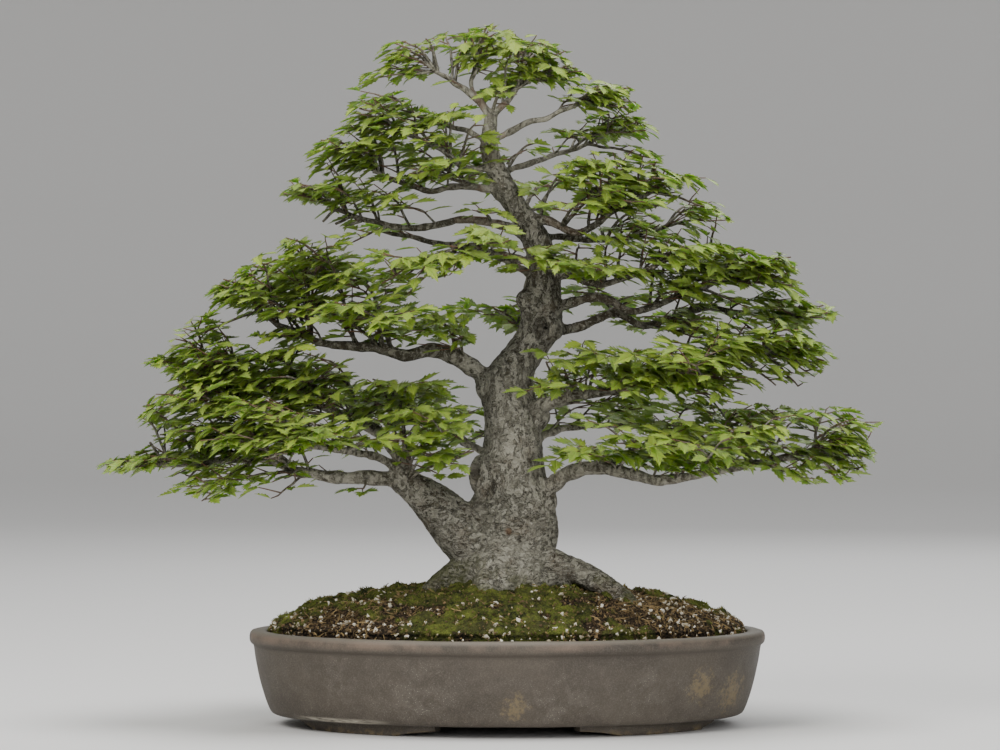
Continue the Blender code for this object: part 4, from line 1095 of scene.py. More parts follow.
# ---------------------------------------------------------------- soil and its cover
def patchiness(x, y, size, offset=0.0):
    """A soft random value from 0 to 1 that changes over this size in mm."""
    return 0.5 + 0.5 * noise.noise(Vector((x / size + offset, y / size - offset, offset)))


def bell(value, centre, reach):
    return math.exp(-((value - centre) / reach) ** 2)


def clamped(value, low=0.0):
    return min(1.0, max(low, value))


def from_rim(x, y):
    """How far a place in mm lies from the middle of the soil to its edge, as a share."""
    return math.hypot((x - POT_CENTRE_X) / SOIL_HALF_LENGTH, y / SOIL_HALF_DEPTH)


def cover_shares(x, y):
    """How much moss, straw and pale grain lies at a place on the mound, each from 0 to 1."""
    middle = bell(x, 5, 75)
    moss = patchiness(x, y, 26) * 0.85 + patchiness(x, y, 9, 3.7) * 0.6 + 0.28 * middle
    moss += 0.14 * bell(y, 30, 60) - 0.24 * bell(x, -118, 45) * bell(y, -80, 50)
    moss += 0.22 * bell(x, -110, 70) * bell(y, -5, 38) - 0.26 * bell(x, 150, 55) * bell(y, -50, 60)
    moss = clamped((moss - 0.70) / 0.16)
    straw = (0.30 + 0.70 * (bell(x, -110, 60) + bell(x, 150, 65))) * (1 - 0.72 * moss)
    edge = from_rim(x, y)
    pale = (0.15 + 0.45 * patchiness(x, y, 22, 9.1) + 0.4 * bell(x, 170, 50)) * (1 - 0.55 * moss)
    pale += 0.45 * bell(edge, 1.0, 0.08) + 0.4 * bell(edge, 1.0, 0.03)
    return moss, min(1.0, straw), min(1.0, pale)


def mound_height(x, y, lump):
    """Height of the soil's surface in mm, with its lumps and moss cushions."""
    share = from_rim(x, y)
    height = SOIL_EDGE + SOIL_MOUND * math.sqrt(max(0.0, 1 - share * share))
    moss = cover_shares(x, y)[0]
    bumps = noise.noise(Vector((x, y, 5)) / 22) * 0.6 + noise.noise(Vector((x, y, 9)) / 8) * 0.35
    cushion = 1.9 * moss * patchiness(x, y, 10, 1.3) ** 1.6
    sunk = 0.25 + 1.1 * clamped((share - 0.18) / 0.14)
    return height + lump * (bumps + cushion - sunk) * min(1.0, (1 - share) / 0.10)


def mound_rings(lump, count=144, rows=40):
    gap = 0.35
    rings = [oval_ring(RIM_HALF_LENGTH - inset - gap, RIM_HALF_DEPTH - inset - gap, height, count)
             for inset, height in ((34 + gap, 17 + gap), (28 + gap, 23 + gap), (15.5 + gap, 66))]
    for share in [1.0, 0.985] + [k / rows for k in range(rows - 1, 0, -1)]:
        ring = oval_ring(SOIL_HALF_LENGTH * share, SOIL_HALF_DEPTH * share, 0, count)
        for point in ring:
            point.z = mound_height(point.x / MM, point.y / MM, lump) * MM
        rings.append(ring)
    return rings


def mound_top(lump):
    """The open upper surface of the mound as an object, with the cover's masks as attributes."""
    bm = bmesh.new()
    skin(bm, mound_rings(lump)[3:])
    mesh = bpy.data.meshes.new("mound_top")
    bm.to_mesh(mesh)
    bm.free()
    shares = []
    for vert in mesh.vertices:
        clear = 0.0 if in_trunk(vert.co, 1.5 * MM) else 1.0
        shares.append([share * clear for share in cover_shares(vert.co.x / MM, vert.co.y / MM)] + [clear])
    for name, values in zip(("moss", "straw", "pale", "grit"), zip(*shares)):
        set_attribute(mesh, name, values)
    return link_mesh("mound_top", mesh)


def trunk_at(z):
    """Centre and half width of the trunk at a height, in metres."""
    rows = np.array(TRUNK_LINE, float) * MM
    return [float(np.interp(z, rows[:, 2], rows[:, k])) for k in (0, 1, 3)]


def in_trunk(point, margin):
    x, y, half_width = trunk_at(point.z)
    return math.hypot(point.x - x, point.y - y) < half_width + margin


def shape_set(name, shapes):
    """A hidden collection of small shapes, some with a map of their corners, for a tree to pick from."""
    group = bpy.data.collections.new(name)
    for number, (points, faces, *corners) in enumerate(shapes):
        mesh = bpy.data.meshes.new("%s_%d" % (name, number))
        mesh.from_pydata(points, [], faces)
        for spots in corners:
            made = mesh.uv_layers.new(name="blade")
            made.data.foreach_set("uv", [value for face in spots for pair in face for value in pair])
        group.objects.link(bpy.data.objects.new(mesh.name, mesh))
    return group


def drop_set(group):
    for item in list(group.objects):
        bpy.data.objects.remove(item, do_unlink=True)
    bpy.data.collections.remove(group)


def hull_of(points):
    """Points and faces of the convex hull of a few points."""
    bm = bmesh.new()
    for point in points:
        bm.verts.new(point)
    made = bmesh.ops.convex_hull(bm, input=bm.verts)
    loose = [item for item in made["geom_interior"] if isinstance(item, bmesh.types.BMVert)]
    bmesh.ops.delete(bm, geom=loose, context="VERTS")
    bmesh.ops.recalc_face_normals(bm, faces=bm.faces)
    bm.verts.index_update()
    result = [vert.co.copy() for vert in bm.verts], [[vert.index for vert in face.verts] for face in bm.faces]
    bm.free()
    return result


def pebble(rng):
    """An angular grain about one unit across."""
    points = []
    for _ in range(9):
        point = Vector((rng.gauss(0, 1), rng.gauss(0, 1), rng.gauss(0, 1))).normalized() * 0.5
        points.append(Vector((point.x * rng.uniform(0.85, 1.1), point.y * 0.8, point.z * 0.72)))
    return hull_of(points)


def spike(points, faces, root, tip, width):
    """Adds a closed three-sided spike from root to tip."""
    along = (tip - root).normalized()
    across = along.orthogonal().normalized()
    other = along.cross(across)
    base = len(points)
    points += [root + (across * x + other * y) * width for x, y in turns(3)]
    points.append(tip)
    faces += [(base, base + 1, base + 3), (base + 1, base + 2, base + 3), (base + 2, base, base + 3),
              (base + 2, base + 1, base)]


def moss_tuft(rng):
    """A star of short spikes about one unit tall."""
    points, faces = [], []
    turn = rng.uniform(0, math.tau)
    for k in range(6):
        angle = turn + math.tau * k / 5 + rng.uniform(-0.3, 0.3)
        lean = rng.uniform(0.35, 0.75) if k < 5 else 0.1
        tip = Vector((math.cos(angle) * lean, math.sin(angle) * lean, rng.uniform(0.6, 1.0)))
        spike(points, faces, Vector((math.cos(angle), math.sin(angle), 0)) * 0.12, tip, 0.17)
    return points, faces


def stalk(rng):
    """A thin bent stalk one unit long, three-sided and closed."""
    bend = rng.uniform(-0.18, 0.18)
    points = []
    for share, width in ((-0.5, 0.035), (-0.1, 0.055), (0.25, 0.048), (0.5, 0.022)):
        height = 0.09 * math.cos(share * 3) + 0.02
        points += [Vector((share, bend * share * share * 4 + x, height + y))
                   for x, y in turns(3, width, width)]
    faces = [(2, 1, 0), (9, 10, 11)]
    for low in (0, 3, 6):
        faces += [(low + k, low + (k + 1) % 3, low + 3 + (k + 1) % 3, low + 3 + k) for k in range(3)]
    return points, faces


class BONSAI_OT_mound(Operator):
    """Builds the lumpy mound of soil inside the pot"""
    bl_idname = "bonsai.mound"
    bl_label = "Soil mound"

    def execute(self, context):
        settings = context.scene.bonsai.soil
        mound = lofted_object("soil_mound", mound_rings(settings.lump / MM, 258, 80))
        moss, top = [], []
        for vert in mound.data.vertices:
            x, y, z = vert.co / MM
            moss.append(cover_shares(x, y)[0])
            top.append(0.0 if z < SOIL_EDGE - 2 else clamped((1 - from_rim(x, y)) / 0.04))
        set_attribute(mound.data, "moss", moss)
        set_attribute(mound.data, "top", top)
        run_tree(mound, ground_tree(), {"Grain height": settings.grain, "Material": earth_material(settings)})
        hand_over(mound, "soil", "soil")
        return {"FINISHED"}


class BONSAI_OT_cover(Operator):
    """Strews moss, soil grains, pumice and dry stalks over the mound"""
    bl_idname = "bonsai.cover"
    bl_label = "Ground cover"

    def execute(self, context):
        settings = context.scene.bonsai.soil
        rng = random.Random(SHAPE_SEED)
        tree = cover_tree()
        grit = tinted_material("soil_grains", (0.035, 0.023, 0.014), (0.27, 0.180, 0.085), 500, 0.0004)
        pumice = tinted_material("pumice", (0.36, 0.30, 0.20), (0.80, 0.76, 0.66), 600, 0.0004)
        moss = tinted_material("moss", settings.moss_dark, settings.moss_light, 75, 0.0002, 0.45, 0.6)
        straw = tinted_material("dry_stalks", (0.075, 0.048, 0.020), (0.33, 0.235, 0.105), 300, 0.0002)
        for name, maker, mask, density, smallest, largest, sink, tilt, finish in (
                ("soil_grains", pebble, "grit", settings.grit_density, 0.0017, 0.0046, 0.0003, 1.0, grit),
                ("pumice_grains", pebble, "pale", settings.pale_density, 0.0013, 0.0070, 0.0010, 1.0, pumice),
                ("moss_tufts", moss_tuft, "moss", settings.moss_density, 0.0017, 0.0040, 0.0002, 0.12, moss),
                ("dry_stalks", stalk, "straw", settings.straw_density, 0.003, 0.0105, 0.0010, 0.12, straw)):
            shapes = shape_set(name + "_shapes", [maker(rng) for _ in range(6)])
            piece = mound_top(settings.lump / MM)
            piece.name = name
            run_tree(piece, tree, {
                "Shapes": shapes, "Mask": mask, "Density": density, "Smallest": smallest,
                "Largest": largest, "Sink": sink, "Tilt": tilt, "Seed": PLACE_SEED, "Material": finish})
            drop_set(shapes)
            hand_over(piece, "soil")
        return {"FINISHED"}


# ---------------------------------------------------------------- wood
def travelled(path):
    """How far along its path each row of x, y, z lies."""
    return np.concatenate([[0], np.cumsum(np.linalg.norm(np.diff(path[:, :3], axis=0), axis=1))])


def knuckled(branch):
    """A branch's smooth path of x, y, z, radius in metres: tapering, thicker at its bends, crooked."""
    path = smooth_path([(*point, 0) for point in branch.route], 2.5)
    lengths = travelled(path)
    shares = lengths / lengths[-1]
    path[:, 3] = branch.tip + (branch.base - branch.tip) * (1 - shares) ** 1.4
    for row, share in zip(path, shares):
        place = Vector(row[:3])
        nearest = min((place - Vector(point)).length for point in branch.route[1:])
        row[3] *= 1 + 0.13 * math.exp(-(nearest / 3.5) ** 2) + 0.10 * noise.noise(place / 9)
        row[:3] += np.array(noise.noise_vector(place / 15)) * 1.6 * min(1.0, share * 6)
    return path * MM


def trunk_rings():
    """Level rings up the trunk, its base lobed by the root flares, its sides softly fluted."""
    rings = []
    for x, y, z, half_width in smooth_path(TRUNK_LINE, 3):
        depth = LOBE_DEPTH * clamped((LOBE_TOP - z) / 60)
        ring = []
        for i in range(72):
            angle = math.tau * i / 72
            degrees = math.degrees(angle)
            nearest = min(abs((degrees - lobe + 180) % 360 - 180) for lobe in LOBE_ANGLES)
            lobed = 1 - depth * (1 - math.exp(-(nearest / LOBE_WIDTH) ** 2))
            flute = 0.05 * noise.noise(Vector((math.cos(angle) * 1.6, math.sin(angle) * 1.6, z / 70)))
            radius = half_width * (lobed + flute)
            ring.append(Vector((x + radius * math.cos(angle), y + radius * math.sin(angle), z)) * MM)
        rings.append(ring)
    return rings


def widened(route, radii, step):
    """A smooth path of x, y, z, radius in metres from a route and its radii in mm."""
    return smooth_path([(*point, radius) for point, radius in zip(route, radii)], step) * MM


def blob_rings(centre, axes):
    """Rings of an ellipsoid. Sizes in mm."""
    rings = []
    for k in range(1, 12):
        wide, high = math.sin(math.pi * k / 12), math.cos(math.pi * k / 12)
        rings.append([Vector((centre[0] + x, centre[1] + y, centre[2] - axes[2] * high)) * MM
                      for x, y in turns(20, axes[0] * wide, axes[1] * wide)])
    return rings


def sink_wounds(mesh):
    """Presses the wounds into the trunk's surface."""
    for vert in mesh.vertices:
        place = vert.co / MM
        for centre, axes, depth in WOUNDS:
            offset = [(place[k] - centre[k]) / axes[k] for k in range(3)]
            reach = sum(part * part for part in offset)
            if reach < 4:
                vert.co -= vert.normal * depth * MM * (math.exp(-reach * 1.6) - 0.35 * math.exp(
                    -((math.sqrt(reach) - 1.25) / 0.28) ** 2))


def stoutness(mesh):
    """For each point, 1 on the trunk and its limb, and less on thinner branches."""
    points = np.empty(len(mesh.vertices) * 3)
    mesh.vertices.foreach_get("co", points)
    points = points.reshape(-1, 3)
    nearest = np.full(len(points), 9.0)
    for row in np.vstack([smooth_path(TRUNK_LINE, 6) * MM, widened(*LOW_LIMB, 6), widened(*ROOTS[0], 6)]):
        reach = np.linalg.norm(points - row[:3], axis=1) / row[3]
        nearest = np.minimum(nearest, reach)
    thick = np.clip(1.9 - nearest * 0.8, 0.45, 1.0)
    return thick * np.interp(points[:, 2], [0.3, 0.5], [1.0, 0.6])


def stem_object(name, paths):
    """A mesh of edges along paths of x, y, z, radius, age, for the stem tree."""
    points, edges, thick, age = [], [], [], []
    for path in paths:
        base = len(points)
        for row in path:
            points.append(tuple(row[:3]))
            thick.append(row[3])
            age.append(row[4])
        edges += [(base + k, base + k + 1) for k in range(len(path) - 1)]
    mesh = bpy.data.meshes.new(name)
    mesh.from_pydata(points, edges, [])
    set_attribute(mesh, "thick", thick)
    set_attribute(mesh, "age", age)
    return link_mesh(name, mesh)


class BONSAI_OT_trunk(Operator):
    """Fuses the trunk, roots and stout branches, and gives them their bark"""
    bl_idname = "bonsai.trunk"
    bl_label = "Trunk and branches"

    def execute(self, context):
        settings = context.scene.bonsai.wood
        bm = bmesh.new()
        loft_into(bm, trunk_rings())
        for route, radii in ROOTS + (LOW_LIMB,):
            loft_into(bm, tube_rings(widened(route, radii, 3), 28))
        for centre, axes in SWELLINGS:
            loft_into(bm, blob_rings(centre, axes))
        thin = []
        for branch in BRANCHES:
            path = knuckled(branch)
            stout = min(max(6, int(np.argmax(path[:, 3] < STOUT))), len(path) - 4)
            loft_into(bm, tube_rings(path[:stout + 2], 14))
            rest = path[stout - 2:].copy()
            rest[:3, 3] *= (0.6, 0.85, 0.97)
            ages = np.interp(np.arange(len(rest)), [0, len(rest)], [0.62, 0.42])
            thin.append(np.column_stack([rest, ages]))
        trunk = new_object("trunk", bm)
        remesh = trunk.modifiers.new("fuse", "REMESH")
        remesh.mode = "VOXEL"
        remesh.voxel_size = settings.voxel
        ease = trunk.modifiers.new("ease", "SMOOTH")
        ease.factor = 0.5
        ease.iterations = 5
        settle(trunk)
        sink_wounds(trunk.data)
        set_attribute(trunk.data, "age", stoutness(trunk.data))
        bark = bark_material(settings)
        run_tree(trunk, relief_tree(), {
            "Lump height": settings.lump, "Crack depth": settings.crack_depth,
            "Crack spacing": settings.crack_spacing, "Material": bark})
        hand_over(trunk, "bark", "tree_wood")
        branches = stem_object("fine_branches", thin)
        run_tree(branches, stem_tree(), {"Sides": 9, "Lump height": 0.0012, "Material": bark})
        hand_over(branches, "bark")
        return {"FINISHED"}


# ---------------------------------------------------------------- twigs and leaves
def blade(teeth, width, fold, droop, curl):
    """A toothed leaf one unit long on +Y, closed: an upper and a lower skin that share the edge. Returns
    its points, its faces and the map of each face corner."""
    points, across = [], []

    def add(y, x, lift=0.0):
        points.append(Vector((x + curl * y * y, y, abs(x) * fold - droop * y * y + lift)))
        across.append(0.5 + 0.5 * max(-1.0, min(1.0, x / width)))
        return len(points) - 1

    def half_width(y):
        share = clamped((y - 0.07) / 0.93)
        return width * math.sin(math.pi * share ** 0.58) ** 0.92 if 0 < share < 1 else 0.0

    stations = [0.0] + [0.07 + 0.73 * (k / teeth) ** 0.92 for k in range(teeth + 1)]
    ribbed = (0, 1, 1 + teeth // 2, teeth + 1)
    rib = [add(stations[k], 0.0, 0.006) for k in ribbed]
    under = [add(y, 0.0, -0.016) for y in (0.0, 0.5)]
    tip = add(1.0, 0.0)
    faces = []
    for side in (-1, 1):
        notch = [add(0.0, side * 0.012)]
        notch += [add(y, side * max(0.014, half_width(y) * 0.74)) for y in stations[1:]]
        point = [add(low + (high - low) * 1.16, side * half_width(low * 0.5 + high * 0.5) * 1.22)
                 for low, high in zip(stations[1:], stations[2:])]
        edge = [notch[0], notch[1]]
        for k in range(teeth):
            edge += [point[k], notch[k + 2]]
        loops = [(rib[0], rib[1], notch[1], notch[0])]
        for low, high, start, end in zip(rib[1:], rib[2:], ribbed[1:], ribbed[2:]):
            margin = [notch[end]]
            for k in range(end - 1, start - 1, -1):
                margin += [point[k - 1], notch[k]]
            loops.append((low, high, *margin))
        loops.append((rib[-1], tip, notch[-1]))
        half = 2 + 2 * (teeth // 2)
        loops += [(under[1], under[0], *edge[:half]), (tip, under[1], *edge[half - 1:])]
        faces += [loop if side < 0 else loop[::-1] for loop in loops]
        base = (rib[0], notch[0], under[0])
        faces.append(base if side < 0 else base[::-1])
    lower = set(under)
    corners = []
    for face in faces:
        skin = 1 if lower & set(face) else 0
        corners.append([(across[i] * 0.98 + 0.01 + skin, points[i].y) for i in face])
    return points, faces, corners


def from_front(point):
    """The x and z in mm that a point in mm has as the camera sees it, on the plane through the trunk."""
    nearness = 1 + point[1] / CAMERA_REACH
    return CAMERA_X + (point[0] - CAMERA_X) / nearness, CAMERA_Z + (point[2] - CAMERA_Z) / nearness


def turned(vector, angle):
    return Matrix.Rotation(angle, 3, "Z") @ vector


class Crown:
    """The twigs and leaves as they are grown: stems as paths, and leaves by region."""

    def __init__(self, settings):
        self.settings = settings
        self.rng = random.Random(settings.seed)
        self.stems = []
        self.leaves = {name: [] for name, _ in CANOPY}
        self.outline = [np.array(rows, float).T for rows in (CROWN_LEFT, CROWN_RIGHT, CROWN_DEPTH)]
        self.branch = None
        self.hang = 0
        self.shown = self.shown_line()
        self.low = CAD_BOX[0] - Vector((4, 4, 0)) * MM
        self.high = CAD_BOX[1] + Vector((4, 4, 4)) * MM

    def shown_line(self):
        """Stretches of branch that show from the front: x and z as the front shows them, y, margin."""
        rows = []
        for branch in BRANCHES:
            path = knuckled(branch) / MM
            for row in path[:int(len(path) * branch.shown)]:
                rows.append((*from_front(row), row[1], row[3] + SHOWN_MARGIN))
        return np.array(rows).T

    def hides(self, point):
        """Whether a leaf at this point in mm would hide a branch, or fill a gap, from the front."""
        x, z = from_front(point)
        if any(((x - gap[0]) / gap[2]) ** 2 + ((z - gap[1]) / gap[3]) ** 2 < 1 for gap in GAPS):
            return True
        across, up, deep, margin = self.shown
        near = (np.hypot(across - x, up - z) < margin) & (point[1] < deep)
        return bool(near.any())

    def hangs_under(self, point):
        """Whether a point hangs under its branch, whose underside is kept clean but for its outer end."""
        reach = np.hypot(self.branch[:, 0] - point.x, self.branch[:, 1] - point.y)
        nearest = int(np.argmin(reach))
        share = nearest / (len(self.branch) - 1)
        allowed = 3 + self.hang * share ** 2 + 0.12 * reach[nearest] / MM
        return point.z < self.branch[nearest, 2] - allowed * MM

    def clipped(self, point, free=False):
        """Whether a point lies beyond the crown's clipped outline, in the trunk or before its window."""
        if any(point[k] < self.low[k] or point[k] > self.high[k] for k in range(3)):
            return True
        if not free and self.hangs_under(point):
            return True
        x, y, z = point / MM
        left, right, depth = [float(np.interp(z, rows[0], rows[1])) for rows in self.outline]
        side = (x - CROWN_MIDDLE) / ((right if x > CROWN_MIDDLE else left) - CROWN_MIDDLE)
        if z < self.outline[0][0][0] or abs(side) ** 2.6 + abs(y / depth) ** 2.6 > 1:
            return True
        if not free and y < 0 and WINDOW[0] < x < WINDOW[1] and z < WINDOW[2]:
            return True
        return in_trunk(point, 1.5 * MM)

    def add_leaf(self, root, side, region, azimuth, free=False):
        """One leaf: out from the twig on its side, its face turned up and away from the trunk. Returns
        whether there was room for it."""
        rng = self.rng
        spread = side * math.radians(rng.uniform(30, 72)) if side else math.radians(rng.uniform(-18, 18))
        flat = turned(Vector((1, 0, 0)), azimuth + spread)
        outward = Vector((root.x - CROWN_MIDDLE * MM, root.y, 0)).normalized()
        lean = outward * rng.triangular(-0.12, 0.75, 0.34) * (0.6 if root.y > 0.02 else 1.0)
        stray = Vector((rng.gauss(0, 0.15), rng.gauss(0, 0.15), 0))
        face = (UP + lean + stray).normalized()
        aim = (flat - face * flat.dot(face)).normalized()
        size = rng.uniform(self.settings.shortest, self.settings.longest) * (1.0 if side else 1.12)
        middle, tip = root + aim * size * 0.5, root + aim * size
        if self.clipped(tip, free) or self.clipped(middle, free):
            return False
        if not free and rng.random() > STRAY_LEAVES and (self.hides(middle / MM) or self.hides(tip / MM)):
            return False
        # The tone is random, with painted light and shade on top: lighter higher up, darker towards the
        # crown's middle and on its back half.
        depth = 1 - min(1.0, math.hypot(root.x - CROWN_MIDDLE * MM, root.y) / 0.16)
        tone = 0.55 + 0.08 * (root.z - 0.2) / 0.35 + rng.gauss(0, 0.12) - 0.04 * depth
        tone -= 0.18 * max(0.0, root.y) / 0.15
        shape = 3 if not side and rng.random() < 0.4 else rng.randrange(3)
        self.leaves[region].append((root, aim, face, size, clamped(tone, 0.02), shape))
        return True

    def twig(self, start, heading, length, region, radius=0.8 * MM, free=False):
        """A zigzag twig with a leaf at each bend, on alternate sides, and one at its end."""
        rng = self.rng
        count = max(2, round(length / self.settings.internode))
        along = heading.normalized()
        azimuth = math.atan2(along.y, along.x)
        if Vector((along.x, along.y)).length < 0.35:
            azimuth = rng.uniform(0, math.tau)
        side = rng.choice((-1, 1))
        point = start.copy()
        path = [(*point, radius, 0.28)]
        leafy = 1
        for number in range(count):
            along = turned(along, side * 0.16 + rng.uniform(-0.1, 0.1))
            along.z += rng.uniform(-0.09, 0.05)
            point = point + along.normalized() * length / count * rng.uniform(0.85, 1.15)
            if self.clipped(point, free):
                break
            share = (number + 1) / count
            path.append((*point, radius + (0.42 * MM - radius) * share, 0.28 - 0.24 * share))
            if self.add_leaf(point, side, region, azimuth, free):
                leafy = len(path)
            side = -side
        if leafy > 1:
            self.stems.append(path[:leafy])
            self.add_leaf(Vector(path[leafy - 1][:3]), 0, region, azimuth, free)

    def shoot(self, anchor, end, region, radius):
        """A shoot of a branch, arching to its end, with shoots and twigs of its own."""
        rng = self.rng
        reach = end - anchor
        middle = anchor + reach * 0.48 + UP * (rng.uniform(0.0, 0.05) * reach.length + 0.22 * max(0, reach.z))
        rows = [(*anchor, radius, 0.5), (*middle, radius * 0.72, 0.4), (*end, 0.65 * MM, 0.2)]
        path = smooth_path(rows, 4.5 * MM)
        for row in path[1:-1]:
            row[:3] += np.array(noise.noise_vector(Vector(row[:3]) / 0.012)) * 1.3 * MM
        free = [not self.clipped(Vector(row[:3])) for row in path]
        first = free.index(True) if True in free else len(path)
        last = free.index(False, first) if False in free[first:] else len(path)
        while last - first > 2 and self.hides(path[last - 1][:3] / MM):
            last -= 1
        if last - first > 2:
            path = path[first:last]
            self.stems.append([tuple(row) for row in path])
            self.clothe(path, region, 0.14)
            tip = Vector(path[-1][:3])
            self.twig(tip, tip - Vector(path[-3][:3]), rng.uniform(10, 16) * MM, region, 0.6 * MM)

    def clothe(self, path, region, bare_share):
        """Shoots or twigs on alternate sides of a path, from its bare share to its tip; a few rise."""
        rng = self.rng
        lengths = travelled(path)
        total = float(lengths[-1])
        reach = min(58 * MM, max(15 * MM, 0.44 * total))
        stout = reach > 30 * MM
        spacing = self.settings.shoot_spacing if stout else self.settings.twig_spacing
        spot = bare_share * total + rng.uniform(0, 0.5) * spacing
        side = rng.choice((-1, 1))

        def spot_on(place):
            return Vector([float(np.interp(place, lengths, path[:, k])) for k in range(3)])

        while spot < total:
            point = spot_on(spot)
            along = (spot_on(spot + 3 * MM) - spot_on(spot - 3 * MM)).normalized()
            length = reach * (1 - 0.38 * spot / total) * rng.uniform(0.65, 1.12)
            heading = turned(along, side * math.radians(rng.uniform(38, 78)))
            heading.z = rng.uniform(0.12, 0.75) if stout else rng.uniform(-0.06, 0.38)
            heading.normalize()
            if stout:
                self.shoot(point, point + heading * length, region, 1.25 * MM)
            else:
                self.twig(point, heading, length, region)
            if rng.random() < (0.5 if stout else 0.16):
                heading = turned(along, rng.uniform(-1.2, 1.2)) * rng.uniform(0.7, 1.3)
                heading.z = rng.uniform(0.3, 0.8)
                self.twig(point, heading, rng.uniform(14, 26) * MM, region)
            side = -side
            spot += spacing * rng.uniform(0.78, 1.22)


def side_anchor(path, target):
    """The place on a branch where a side shoot leaves it, a little nearer the trunk than its target."""
    best = None
    for before, after in zip(path[:-1], path[1:]):
        point = Vector(before[:3])
        along = (Vector(after[:3]) - point).normalized()
        reach = target - point
        cost = reach.length + 60 * MM * abs(reach.normalized().dot(along) - 0.55)
        if best is None or cost < best[0]:
            best = (cost, point)
    return best[1]


def grow_crown(settings):
    """Grows every branch's tip fan, side shoots and twigs, region by region."""
    crown = Crown(settings)
    for region, branches in CANOPY:
        for branch in branches:
            path = crown.branch = knuckled(branch)
            crown.hang = branch.hang
            end = Vector(path[-1][:3])
            along = (end - Vector(path[-3][:3])).normalized()
            crown.clothe(path, region, branch.bare)
            ends = [end + (turned(along, math.radians(turn)) + UP * 0.12).normalized() * reach * MM
                    for turn, reach in TIP_FAN]
            ends += [Vector(point) * MM for point in branch.tip_ends]
            crown.twig(end, along, 26 * MM, region)
            for target in ends:
                crown.shoot(end - along * 4 * MM, target, region, 1.5 * MM)
            for number, side_ends in enumerate(branch.side_shoots):
                targets = [Vector(point) * MM for point in side_ends]
                anchor = side_anchor(path, targets[0])
                if len(targets) == 1:
                    aside = turned(targets[0] - anchor, math.radians(COMPANION_TURN) * (-1) ** number)
                    targets.append(anchor + aside * COMPANION_SHARE)
                for target in targets:
                    crown.shoot(anchor, target, region, 1.9 * MM)
            for target in [Vector(point) * MM for point in branch.pad_ends]:
                crown.shoot(side_anchor(path, target), target, region, 1.6 * MM)
    for region, start, end in FREE_SHOOTS:
        start, end = Vector(start) * MM, Vector(end) * MM
        crown.twig(start, end - start, (end - start).length, region, free=True)
    return crown


class BONSAI_OT_foliage(Operator):
    """Grows the twigs and the leaves of each region of the crown"""
    bl_idname = "bonsai.foliage"
    bl_label = "Twigs and leaves"

    def execute(self, context):
        settings = context.scene.bonsai
        crown = grow_crown(settings.leaf)
        twigs = stem_object("twigs", crown.stems)
        run_tree(twigs, stem_tree(), {"Sides": 3, "Lump height": 0.0006,
                                      "Material": bark_material(settings.wood)})
        hand_over(twigs, "bark")
        shapes = shape_set("leaf_shapes", [blade(*values) for values in LEAF_SHAPES])
        tree = foliage_tree()
        green = leaf_material(settings.leaf)
        last = 0
        for name, branches in CANOPY:
            leaves = crown.leaves[name]
            mesh = bpy.data.meshes.new(name)
            mesh.from_pydata([leaf[0] for leaf in leaves], [], [])
            for column, title, kind in ((1, "aim", "FLOAT_VECTOR"), (2, "face", "FLOAT_VECTOR"),
                                        (3, "size", "FLOAT"), (4, "tone", "FLOAT"), (5, "shape", "INT")):
                set_attribute(mesh, title, [leaf[column] for leaf in leaves], kind)
            piece = link_mesh(name, mesh)
            run_tree(piece, tree, {"Shapes": shapes, "Material": green})
            print(name, len(leaves), "leaves")
            first, last = last + 1, last + sum(1 + len(branch.side_shoots) for branch in branches)
            hand_over(piece, "foliage", *("spray_%02d" % number for number in range(first, last + 1)))
        drop_set(shapes)
        return {"FINISHED"}


# ---------------------------------------------------------------- stage
def area_light(name, place, target, size, power, colour):
    light = bpy.data.lights.new(name, "AREA")
    light.shape = "DISK"
    light.size = size
    light.energy = power
    light.color = colour
    item = bpy.data.objects.new(name, light)
    item.location = place
    item.rotation_euler = (Vector(target) - Vector(place)).to_track_quat("-Z", "Y").to_euler()
    bpy.context.scene.collection.objects.link(item)


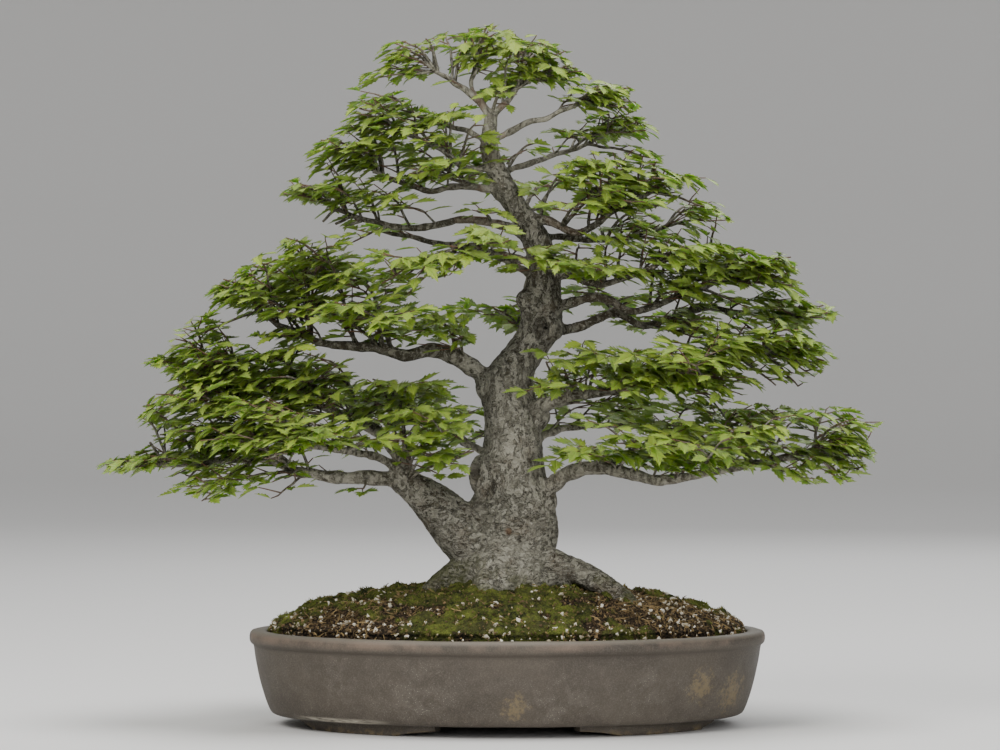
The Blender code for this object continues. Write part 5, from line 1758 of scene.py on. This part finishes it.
class BONSAI_OT_stage(Operator):
    """Lays the pale floor with its rising edge, and sets the lights and the camera"""
    bl_idname = "bonsai.stage"
    bl_label = "Stage"

    def execute(self, context):
        settings = context.scene.bonsai.stage
        bm = bmesh.new()
        rows = skin(bm, [[(x, y, height) for x, y in turns(64, radius, radius)] for radius, height in FLOOR])
        bm.faces.new(rows[0])
        floor = new_object("floor", bm, floor_material(settings))
        if floor.data.polygons[-1].normal.z < 0:
            floor.data.flip_normals()
        floor.data.shade_smooth()
        middle = (0.0, 0.0, 0.3)
        area_light("key", (-1.7, -2.3, 2.4), middle, 1.8, settings.key_power, (1.0, 0.98, 0.95))
        area_light("top", (0.2, -0.2, 2.6), middle, 1.6, settings.key_power * 0.75, (1.0, 1.0, 1.0))
        area_light("fill", (1.0, -3.0, 0.95), middle, 1.5, settings.key_power * 0.55, (0.97, 0.98, 1.0))
        area_light("back", (0.8, 2.6, 1.9), middle, 2.0, settings.key_power * 0.30, (0.96, 0.98, 1.0))
        world = bpy.data.worlds.new("soft_sky")
        world.use_nodes = True
        world.node_tree.nodes["Background"].inputs["Color"].default_value = (0.97, 0.98, 1.0, 1.0)
        world.node_tree.nodes["Background"].inputs["Strength"].default_value = 0.50
        context.scene.world = world
        camera = bpy.data.cameras.new("camera")
        camera.lens = settings.lens
        camera.clip_end = 40
        item = bpy.data.objects.new("camera", camera)
        item.location = (CAMERA_X * MM, -settings.camera_distance, settings.camera_height)
        item.rotation_euler = (math.radians(90), 0, 0)
        context.scene.collection.objects.link(item)
        context.scene.camera = item
        return {"FINISHED"}


# ---------------------------------------------------------------- add-on
class BONSAI_PT_sidebar(Panel):
    """The sizes and colours of the bonsai, and the steps that build it"""
    bl_idname = "BONSAI_PT_sidebar"
    bl_label = "Zelkova bonsai"
    bl_space_type = "VIEW_3D"
    bl_region_type = "UI"
    bl_category = "Bonsai"

    def draw(self, context):
        for title, group, steps in STEPS:
            box = self.layout.box()
            box.label(text=title)
            settings = getattr(context.scene.bonsai, group)
            for name in type(settings).__annotations__:
                box.prop(settings, name)
            for step in steps:
                box.operator(step.bl_idname)


STEPS = (
    ("Pot", "pot", (BONSAI_OT_pot, BONSAI_OT_drain_mesh)),
    ("Soil", "soil", (BONSAI_OT_mound, BONSAI_OT_cover)),
    ("Wood", "wood", (BONSAI_OT_trunk,)),
    ("Leaves", "leaf", (BONSAI_OT_foliage,)),
    ("Stage", "stage", (BONSAI_OT_stage,)),
)
CLASSES = (PotSettings, SoilSettings, WoodSettings, LeafSettings, StageSettings, BonsaiSettings,
           BONSAI_OT_pot, BONSAI_OT_drain_mesh, BONSAI_OT_mound, BONSAI_OT_cover, BONSAI_OT_trunk,
           BONSAI_OT_foliage, BONSAI_OT_stage, BONSAI_PT_sidebar)


def register():
    noise.seed_set(NOISE_SEED)
    for item in CLASSES:
        bpy.utils.register_class(item)
    bpy.types.Scene.bonsai = PointerProperty(type=BonsaiSettings)


def unregister():
    del bpy.types.Scene.bonsai
    for item in reversed(CLASSES):
        bpy.utils.unregister_class(item)


def main():
    register()
    bpy.ops.bonsai.stage()
    bpy.ops.bonsai.pot()
    bpy.ops.bonsai.drain_mesh()
    bpy.ops.bonsai.mound()
    bpy.ops.bonsai.cover()
    bpy.ops.bonsai.trunk()
    bpy.ops.bonsai.foliage()
    bpy.context.view_layer.update()


if __name__ == "__main__":
    main()
